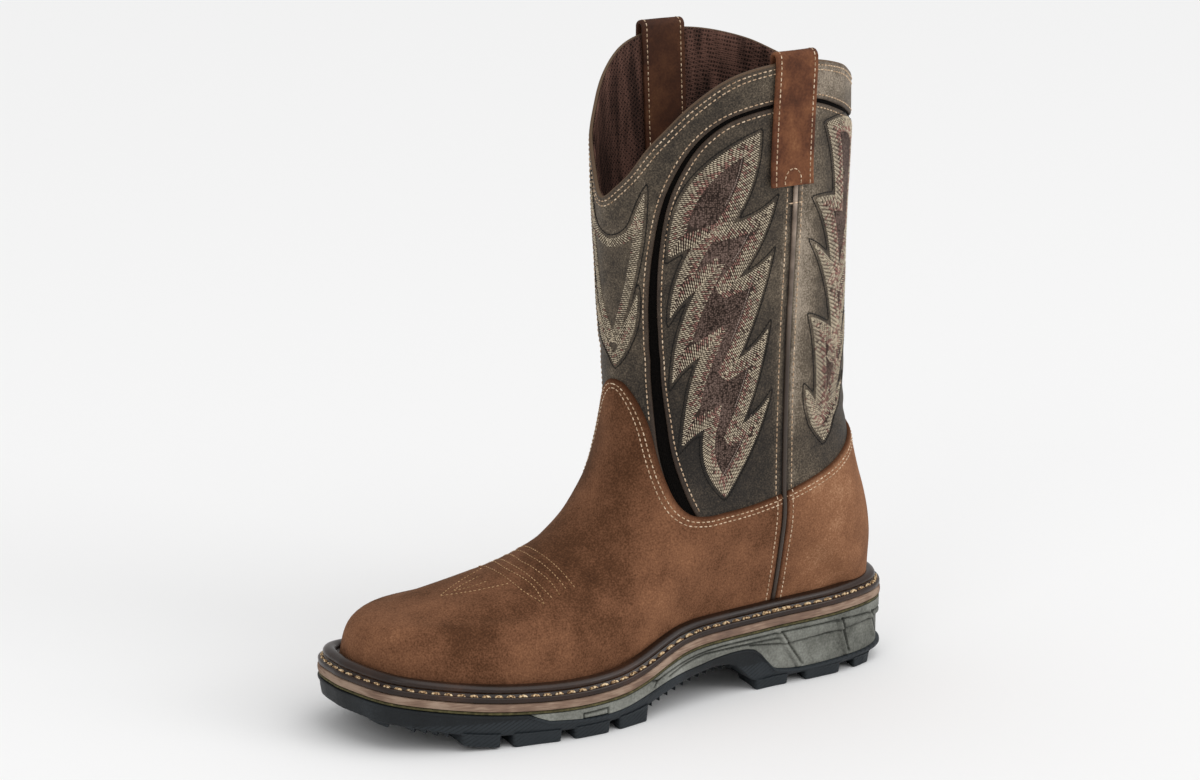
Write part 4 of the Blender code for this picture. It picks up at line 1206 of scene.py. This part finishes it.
def strap_run(across, lift, outer):
    """Points along a strap, at a place across it and a height above its underside."""
    station = STRAP_STATION[outer]
    levels = np.linspace(STRAP_FOOT, STRAP_BEND, STRAP_STEPS)
    middle = np.abs(from_side(skin, station, levels, outer)[0][:, 0]) / MM
    here = np.abs(from_side(skin, station + across, levels, outer)[0][:, 0]) / MM
    outside = middle - 0.55 * (middle - here) + STRAP_GAP
    foot = np.clip((STRAP_FOOT + 14.0 - levels) / 14.0, 0.0, 1.0) ** 2
    outside = outside + foot * 1.2 * (across / STRAP_WIDTH * 2.0) ** 2
    inside = here - SHAFT_WALL - STRAP_GAP - 0.4
    bore = (outside[-1] - inside[-1]) / 2
    centre = (outside[-1] + inside[-1]) / 2
    crown = STRAP_TOP - bore - STRAP_WALL
    round_side = centre + (bore + lift) * np.cos(ARC)
    round_height = crown + (bore + lift) * np.sin(ARC)
    sides = np.concatenate([outside + lift, round_side, inside[::-1] - lift]) * outer
    heights = np.concatenate([levels, round_height, levels[::-1]])
    return np.column_stack([np.full(len(sides), station + across), sides, heights])


# Strap leather: oiled red-brown in soft clouds, with painted shade over the inner side's strap
strap_leather, tree, shader, where = surface("oiled red-brown strap leather", 0.7, 0.2)
cloud = add(tree, "TexNoise", {"Scale": per_mm(16.0), "Detail": 5.0, "Roughness": 0.6}, {"Vector": where})
nap = add(tree, "TexNoise", {"Scale": per_mm(1.2), "Detail": 3.0}, {"Vector": where})
mix = add(tree, "Math", {"operation": "MULTIPLY_ADD", 1: 0.3}, {0: nap, 2: cloud})
STRAP_SHADES = ((0.4, "#331a0e"), (0.6, "#55301d"), (0.78, "#71462c"), (0.95, "#8e6241"))
oiled = add(tree, "ValToRGB", {"stops": STRAP_SHADES}, {"Fac": mix})
# Painted shade over the strap on the inner side, towards negative x
across = add(tree, "SeparateXYZ", {}, {"Vector": where}).outputs["X"]
painted_inner_shade = blend(tree, oiled, across, (0.0, -0.05), "#2a170d", 0.55)
bump = add(tree, "Bump", {"Strength": 0.25, "Distance": 0.0004}, {"Height": mix})
lead(tree, shader, {"Base Color": painted_inner_shade, "Normal": bump})
# Outline of the strap's section: places across it and heights above its underside
half = STRAP_WIDTH / 2
SECTION = ([(a, STRAP_WALL) for a in np.linspace(-half + 0.9, half - 0.9, 11)]
           + [(half - 0.3, STRAP_WALL - 0.3), (half, STRAP_WALL - 0.9), (half, 0.9), (half - 0.3, 0.3)]
           + [(a, 0.0) for a in np.linspace(half - 0.9, -half + 0.9, 11)]
           + [(0.3 - half, 0.3), (-half, 0.9), (-half, STRAP_WALL - 0.9), (0.3 - half, STRAP_WALL - 0.3)])
for outer, word in ((1, "left"), (-1, "right")):
    runs = np.array([strap_run(across, lift, outer) for across, lift in SECTION])
    middles = np.array([strap_run(across, STRAP_WALL / 2, outer) for across, _ in SECTION])
    strap = ring_mesh([middles[:, 0], *runs.swapaxes(0, 1), middles[:, -1]])
    finish_piece("pull_strap_" + word, strap, strap_leather, ["pull_strap_" + word])

# Top stitching: cream thread in single and double rows along the seams, the channel, the collar,
# the piping and the straps. Each stitch dips into the leather at its ends.
# Pitch, length and radius of the stitches in most rows, and round the tab on a strap's foot
ROW = (2.75, 2.1, 0.33)
TAB_ROW = (2.7, 2.1, 0.33)
# Distances of the rows: from the seam, the collar, the channel, the piping and the strap's middle
SEAM_ROWS = (2.2, 4.4)
COLLAR_ROWS = (2.4, 4.7)
CHANNEL_ROW = 2.1
PIPING_ROW = 4.5
STRAP_ROW = 9.9
# Short row that crosses the piping under the strap: its height, and its lift over the cord
BRIDGE_HEIGHT = 255.0
BRIDGE_LIFT = 1.6
# Tab on a strap's foot: half width, rise, and height of its middle above the foot
TAB_HALF = 4.8
TAB_RISE = 6.2
TAB_LIFT = 2.5
# Where a ray from round about or from above starts, in metres
RAY_START = 0.3


def on_leather(points):
    """Points and outward directions on the leather, by degrees from the front and height."""
    spots_met = []
    outs = []
    for degrees, level in points:
        angle = math.radians(degrees + FRONT)
        away = Vector((math.sin(angle), -math.cos(angle), 0.0))
        middle = Vector((0.0, (BACK - AXIS) * MM, level * MM))
        hit = leather.ray_cast(middle + away * RAY_START, -away, RAY_START)
        if hit[0] is not None:
            spots_met.append(np.array(hit[0]))
            outs.append(np.array(hit[1]))
    return np.array(spots_met), np.array(outs)


def left_of(along):
    """Directions a quarter turn to the left of others."""
    return np.stack([-along[..., 1], along[..., 0]], -1)


def shifted(line, distance):
    """A line of degrees and heights moved sideways by so many millimetres, to its right if positive."""
    flat = np.asarray(line, dtype=float) * (DEGREE, 1.0)
    return (flat - left_of(heading(flat)) * np.reshape(distance, (-1, 1))) / (DEGREE, 1.0)


def sew(store, line, mirrored=True):
    """Sew a row along a line of degrees and heights, on both sides of the boot if mirrored."""
    for turn in ((1.0, -1.0) if mirrored else (1.0,)):
        path, outs = on_leather(np.asarray(line) * (turn, 1.0))
        stitch_row(store, path, outs, *ROW)


degrees = np.linspace(0.0, 180.0, 220)
seam_row = np.column_stack([degrees, seam_height(degrees)])
for inset in SEAM_ROWS:
    sew("cream", shifted(seam_row, inset))
widths = smooth(CHANNEL_WIDTH)(channel_curve[:, 1])
for which in (1, -1):
    row = shifted(channel_curve, which * (widths + CHANNEL_ROW))
    sew("cream", row[row[:, 1] > seam_height(row[:, 0]) + 0.6])
degrees = np.linspace(-180.0, 180.0, 400)
collar_row = np.column_stack([degrees, collar_height(degrees)])
for inset in COLLAR_ROWS:
    sew("cream", shifted(collar_row, inset), mirrored=False)
for outer in (1, -1):
    levels = np.linspace(263.0, seam_low + 5.0, 200)
    for which in (1, -1):
        path, outs = from_side(leather, side_seam(levels, outer) + which * PIPING_ROW, levels, outer)
        stitch_row("cream", path, outs, *ROW)
    stations = side_seam(BRIDGE_HEIGHT, outer) + np.linspace(-PIPING_ROW, PIPING_ROW, 8)
    path, outs = from_side(leather, stations, BRIDGE_HEIGHT, outer)
    stitch_row("cream", path + outs * BRIDGE_LIFT * MM, outs, *ROW)
    for across in (-STRAP_ROW, STRAP_ROW):
        row = spots(strap_run(across, STRAP_WALL, outer))
        outs = np.cross((0.0, 1.0, 0.0), np.gradient(row, axis=0)) * outer
        outs /= np.linalg.norm(outs, axis=1)[:, None]
        if outs[0][0] * outer < 0:
            outs = -outs
        stitch_row("cream", row, outs, *ROW)
    row = []
    for angle in np.linspace(-0.35, math.pi + 0.35, 24):
        level = STRAP_FOOT + TAB_LIFT + TAB_RISE * math.sin(angle)
        run = strap_run(TAB_HALF * math.cos(angle), STRAP_WALL, outer)[:STRAP_STEPS]
        row.append((run[0, 0], np.interp(level, run[:, 2], run[:, 1]), level))
    stitch_row("cream", spots(row), np.tile((outer, 0.0, 0.0), (len(row), 1)), *TAB_ROW)
cream = waxed_thread("cream sewing thread", ((0.3, "#846a50"), (0.5, "#c0a284"), (0.65, "#e2cdb2")), 1.6)
finish_threads("cream", "top_stitching", cream)

# Toe stitching: fine rows of tan thread in a fan over the front of the vamp, sewn before lasting. The
# two halves of the pattern mirror each other.
# Pitch, length and radius of its stitches, and the side of its middle
TOE_ROW = (2.2, 1.45, 0.28)
TOE_MIDDLE = 2.0
# Rows of stations and sides in one half
TOE_ROWS = (
    ((253.0, 0.0), (244.0, 5.5), (233.0, 10.5), (222.0, 14.0)),
    ((246.0, 0.0), (238.0, 3.0), (229.0, 4.5)),
    ((221.0, 0.0), (220.5, 12.0), (218.5, 24.0), (212.8, 33.5)),
    ((212.8, 33.5), (213.0, 22.0), (215.6, 8.0), (216.5, 0.0)),
    ((212.3, 0.0), (211.6, 9.0), (209.7, 23.5), (207.7, 32.0)),
    ((207.6, 0.0), (205.6, 14.0), (203.9, 24.5), (203.4, 32.0)),
    ((202.2, 0.0), (200.5, 18.0), (199.0, 30.5)),
    ((197.9, 0.0), (196.4, 19.5), (194.6, 31.5)),
)
for rows in TOE_ROWS:
    for turn in (1.0, -1.0):
        line = even_line(open_curve(rows, 10) * (1.0, turn) + (0.0, TOE_MIDDLE), 80)
        starts = [Vector((side * MM, (BACK - station) * MM, RAY_START)) for station, side in line]
        hits = [leather.ray_cast(start, Vector((0.0, 0.0, -1.0))) for start in starts]
        stitch_row("toe", [hit[0] for hit in hits], [hit[1] for hit in hits], *TOE_ROW)
toe_thread = waxed_thread("tan sewing thread", ((0.35, "#86643f"), (0.65, "#c6a077")), 1.6)
finish_threads("toe", "toe_stitching", toe_thread)

# Embroidery: a flame on each side, on each side of the back and on the front, in the western way.
# A shaded satin border of cream, rose and olive thread lies over a brown filled ground, and a black
# outline runs round it. Corners are degrees from the front, height and outward bow of the edge after.
FLAMES = {
    "side": (
        (75.0, 292.0, 0.17), (30.0, 229.0, -0.04), (41.0, 235.0, 0.06), (30.0, 198.0, -0.06),
        (43.0, 213.0, 0.05), (30.0, 165.0, -0.06), (45.0, 179.0, 0.05), (35.0, 132.0, -0.06),
        (47.0, 141.0, 0.15), (60.0, 106.0, 0.06), (89.0, 156.0, -0.06), (71.0, 143.0, 0.04),
        (86.0, 192.0, -0.06), (67.0, 177.0, 0.04), (85.0, 230.0, -0.06), (66.0, 219.0, 0.06),
        (85.0, 257.0, -0.06), (62.0, 247.0, 0.08),
    ),
    "back": (
        (116.0, 292.0, -0.04), (127.0, 254.0, 0.04), (111.0, 255.0, -0.05), (127.0, 221.0, 0.04),
        (112.0, 232.0, -0.05), (133.0, 185.0, 0.04), (115.0, 194.0, -0.05), (123.0, 149.0, 0.04),
        (115.0, 157.0, 0.1), (128.0, 127.0, 0.06), (148.0, 155.0, -0.05), (140.0, 150.0, 0.04),
        (153.0, 190.0, -0.05), (143.0, 178.0, 0.04), (155.0, 228.0, -0.05), (145.0, 215.0, 0.06),
        (153.0, 282.0, 0.14),
    ),
    "front": (
        (0.0, 171.0, 0.1), (15.0, 211.0, -0.03), (5.5, 191.0, 0.04), (20.0, 262.0, 0.02),
        (13.0, 245.0, -0.12), (0.0, 236.0, -0.12), (-13.0, 245.0, 0.02), (-20.0, 262.0, 0.04),
        (-5.5, 191.0, -0.03), (-15.0, 211.0, 0.1),
    ),
}
SATIN_WIDTH = {"side": 7.4, "back": 8.0, "front": 4.2}
SATIN_PITCH = 1.15
SATIN_ROW = 1.6
SATIN_SLANT = 0.55
SATIN_RADIUS = 0.38
SATIN_LIFT = 0.32
SHORTEST_STITCH = 0.35
MITRE_MARGIN = 0.5
# Outline and inner veins: distance from the flame's edge and from the satin, height over the leather,
# and pitch, length and radius of the stitches
OUTLINE_AWAY = 1.5
OUTLINE_LIFT = 0.1
OUTLINE_ROW = (1.8, 3.0, 0.36)
VEIN_AWAY = 0.9
VEIN_LIFT = 0.4
VEIN_ROW = (1.2, 1.1, 0.26)
GROUND_LAY = (0.02, 0.2, -0.1, 0.3)
# Cream, khaki, rose and olive-brown thread, and their growing shares in each row from the edge in
THREADS = ("#c8baa2", "#a09280", "#9a7267", "#5c4a41")
SHARES = ((0.8, 0.97, 1.0, 1.0), (0.76, 0.93, 0.99, 1.0), (0.64, 0.84, 0.98, 1.0), (0.36, 0.5, 0.95, 1.0))


def flame_edges(corners):
    """Edges of a flame, drawn anticlockwise in millimetres, as dense bowed lines."""
    flat = np.array(corners) * (DEGREE, 1.0, 1.0)
    edges = []
    for start, end in zip(flat, np.roll(flat, -1, 0)):
        run = end[:2] - start[:2]
        middle = (start[:2] + end[:2]) / 2 + np.array([run[1], -run[0]]) * start[2] * 2.0
        t = np.linspace(0.0, 1.0, max(int(np.linalg.norm(run) / 0.5), 6))[:, None]
        edges.append((1 - t) ** 2 * start[:2] + 2 * t * (1 - t) * middle + t**2 * end[:2])
    return edges


def inside(points, line):
    """Whether points lie inside a closed line."""
    found = np.zeros(len(points), dtype=bool)
    for a, b in zip(line, np.roll(line, -1, 0)):
        crosses = (a[1] > points[:, 1]) != (b[1] > points[:, 1])
        slope = (b[0] - a[0]) / (b[1] - a[1] if b[1] != a[1] else 1e-9)
        found ^= crosses & (points[:, 0] < a[0] + slope * (points[:, 1] - a[1]))
    return found


def satin_rows(edges, index, wide, slant):
    """Short stitches across one edge's border, as rows of start, end, and row number.

    The border is mitred against its neighbours: at a notch it runs on to the line that halves it.
    """
    edge = edges[index]
    along = heading(edge)
    before = heading(edges[index - 1])[-1]
    after = heading(edges[(index + 1) % len(edges)])[0]
    opens = [(edge[0], before, np.cross(before, along[0])), (edge[-1], after, np.cross(along[-1], after))]
    run = lengths(edge)
    first = -2.0 * wide if opens[0][2] < 0 else 0.0
    last = run[-1] + (2.0 * wide if opens[1][2] < 0 else 0.0)
    found = []
    for count, place in enumerate(np.arange(first + SATIN_PITCH / 2, last, SATIN_PITCH)):
        held = np.clip(place, 0.0, run[-1])
        spot = np.array([np.interp(held, run, edge[:, axis]) for axis in range(2)])
        way = np.array([np.interp(held, run, along[:, axis]) for axis in range(2)])
        spot = spot + way * (place - held)
        stagger = 0.5 * SATIN_ROW * (count % 2)
        marks = np.unique(np.concatenate([[0.0], np.arange(SATIN_ROW - stagger, wide, SATIN_ROW), [wide]]))
        for row, (low, high) in enumerate(zip(marks, marks[1:])):
            middle = spot + left_of(way) * (low + high) / 2 + way * slant * (low + high) / 2
            keep = high - low > SHORTEST_STITCH
            for corner, other, bend in opens:
                depth = float((middle - corner) @ left_of(other))
                if np.linalg.norm(middle - corner) < 3.2 * wide:
                    past = (low + high) / 2 - depth
                    keep &= past <= MITRE_MARGIN if bend > 0 else past >= -MITRE_MARGIN
            if keep:
                found.append((spot + left_of(way) * low + way * slant * low,
                              spot + left_of(way) * high + way * slant * high, row))
    return found


random.seed(11)
ground_inward = np.full(len(height), -50.0)
for flame, corners in FLAMES.items():
    edges = flame_edges(corners)
    border = np.vstack([edge[:-1] for edge in edges])
    closed = np.vstack([border, border[:1]])
    if flame != "front":
        away = line_distance(chart, closed)
        ground_inward = np.maximum(ground_inward, np.where(inside(chart, border), away, -away))
    stitches = []
    outline = []
    veins = []
    for index, edge in enumerate(edges):
        slant = SATIN_SLANT if index % 2 else -SATIN_SLANT
        stitches += satin_rows(edges, index, SATIN_WIDTH[flame], slant)
        along = heading(edge)
        outer_line = edge - left_of(along) * OUTLINE_AWAY
        outline.append(outer_line[line_distance(outer_line, closed) > OUTLINE_AWAY - 0.03])
        after = heading(edges[(index + 1) % len(edges)])[0]
        if np.cross(along[-1], after) > 0.3:
            point = along[-1] - after
            half_angle = math.asin(min(np.linalg.norm(along[-1] + after) / 2, 1.0))
            reach = min(OUTLINE_AWAY / math.sin(half_angle), 5.0)
            outline.append((edge[-1] + point / np.linalg.norm(point) * reach)[None])
        if flame == "side" and edge[-1][1] - edge[0][1] > 25.0:
            vein = edge + left_of(along) * (SATIN_WIDTH[flame] + VEIN_AWAY)
            veins.append(vein[len(edge) // 8:-len(edge) // 5])
    middles = np.array([(start + end) / 2 for start, end, _ in stitches])
    stitches = [stitch for stitch, fits in zip(stitches, inside(middles, border)) if fits]
    for turn in ((1.0, -1.0) if flame != "front" else (1.0,)):
        for start, end, row in stitches:
            met, outs = on_leather([(knot[0] / DEGREE * turn, knot[1]) for knot in (start, end)])
            pick = random.random()
            kind = next(k for k, share in enumerate(SHARES[min(row, 3)]) if pick <= share)
            tint = random.uniform(0.8, 1.1)
            shade = tuple(part * tint for part in colour(THREADS[kind])[:3]) + (1.0,)
            over = (met[1] - met[0]) * 0.06
            met = met + outs * SATIN_LIFT * MM
            thread("satin_" + flame, met[0] - over, met[1] + over, outs[0], SATIN_RADIUS * MM, 4, shade)
        path = np.vstack(outline)
        met, outs = on_leather(np.vstack([path, path[:1]]) / (DEGREE, 1.0) * (turn, 1.0))
        stitch_row("outline", met + outs * OUTLINE_LIFT * MM, outs, *OUTLINE_ROW, 4)
        for vein in veins:
            met, outs = on_leather(vein / (DEGREE, 1.0) * (turn, 1.0))
            stitch_row("vein", met + outs * VEIN_LIFT * MM, outs, *VEIN_ROW, 4)
# Rayon thread: a soft gloss, each stitch in its own shade
silk, tree, shader, where = surface("rayon embroidery thread", 0.5)
tint = add(tree, "Attribute", {"attribute_name": "thread"})
lead(tree, shader, {"Base Color": tint.outputs["Color"]})
for flame in FLAMES:
    finish_threads("satin_" + flame, "embroidery_" + flame, silk)
black = waxed_thread("black sewing thread", ((0.3, "#0d0c0b"), (0.7, "#241f1b")), 1.6)
finish_threads("outline", "embroidery_outline", black)
pale = waxed_thread("grey-pink sewing thread", ((0.3, "#83726a"), (0.7, "#b3a196")), 1.6)
finish_threads("vein", "embroidery_veins", pale)
ground = cut_panel(ground_inward - 0.2, GROUND_LAY)
# Filled embroidery: knots of dull brown thread, in darker and lighter drifts. The knots are drawn
# coarser than they are, to show.
filled, tree, shader, where = surface("brown filled embroidery", 0.8, 0.1)
cells = add(tree, "TexVoronoi", {"Scale": per_mm(0.95), "Randomness": 0.7}, {"Vector": where})
cloud = add(tree, "TexNoise", {"Scale": per_mm(14.0), "Detail": 3.0}, {"Vector": where})
soft = add(tree, "Math", {"operation": "MULTIPLY", 1: 0.5}, {0: cloud})
mix = add(tree, "Math", {"operation": "MULTIPLY_ADD", 1: 0.8}, {0: cells, 2: soft})
fill = add(tree, "ValToRGB", {"stops": ((0.4, "#75625a"), (0.62, "#50413a"), (0.85, "#261d19"))},
           {"Fac": mix})
edge_mark = add(tree, "Attribute", {"attribute_name": "inward"}).outputs["Fac"]
satin_end = SATIN_WIDTH["side"]
shaded = blend(tree, fill, edge_mark, (satin_end, satin_end - 0.6), "#372d28")
bump = add(tree, "Bump", {"Strength": 0.6, "Distance": 0.0004}, {"Height": cells})
lead(tree, shader, {"Base Color": shaded, "Normal": bump})
finish_piece("embroidery_ground", ground, filled, sharp=60, kept=0.5)

# Stage: a pale studio floor, one broad soft light over the boot and two fills, and a long lens
# at the photograph's angle.
bpy.ops.mesh.primitive_plane_add(size=30.0)
floor = bpy.context.object
floor.name = "studio_floor"
paper, tree, shader, where = surface("pale paper", 0.9, 0.0)
shader.inputs["Base Color"].default_value = colour("#f4f4f4")
floor.data.materials.append(paper)
world = bpy.data.worlds.new("studio")
bpy.context.scene.world = world
world.use_nodes = True
world.node_tree.nodes["Background"].inputs["Color"].default_value = colour("#ffffff")
world.node_tree.nodes["Background"].inputs["Strength"].default_value = 0.64
bpy.context.scene.view_settings.view_transform = "Standard"
sky = bpy.data.lights.new("softbox_above", "SUN")
sky.energy = 1.15
sky.angle = math.radians(70.0)
lamp = bpy.data.objects.new("softbox_above", sky)
bpy.context.scene.collection.objects.link(lamp)
lamp.rotation_euler = Vector((-0.5, -0.35, -1.0)).to_track_quat("-Z", "Y").to_euler()
# Place, size and power of each soft side light
LIGHTS = (
    ((1.2, -1.6, 1.3), 0.9, 4.0),
    ((2.4, 1.9, 1.4), 1.4, 18.0),
)
for index, (place, size, power) in enumerate(LIGHTS):
    data = bpy.data.lights.new("softbox_%d" % (index + 1), "AREA")
    data.size = size
    data.energy = power
    lamp = bpy.data.objects.new(data.name, data)
    bpy.context.scene.collection.objects.link(lamp)
    lamp.location = place
    lamp.rotation_euler = (Vector((0.0, 0.0, 0.15)) - Vector(place)).to_track_quat("-Z", "Y").to_euler()

CAMERA_TURN = math.radians(60.391)
CAMERA_RISE = math.radians(14.577)
CAMERA_AWAY = 1.995
CAMERA_AIM = Vector((-0.005507, -0.003207, 0.156094))
toward = Vector((math.sin(CAMERA_TURN) * math.cos(CAMERA_RISE),
                 -math.cos(CAMERA_TURN) * math.cos(CAMERA_RISE),
                 math.sin(CAMERA_RISE)))
lens = bpy.data.cameras.new("camera")
lens.sensor_fit = "HORIZONTAL"
lens.sensor_width = 36.0
lens.lens = 119.82
camera = bpy.data.objects.new("camera", lens)
bpy.context.scene.collection.objects.link(camera)
camera.location = CAMERA_AIM + toward * CAMERA_AWAY
camera.rotation_euler = (-toward).to_track_quat("-Z", "Y").to_euler()
bpy.context.scene.camera = camera
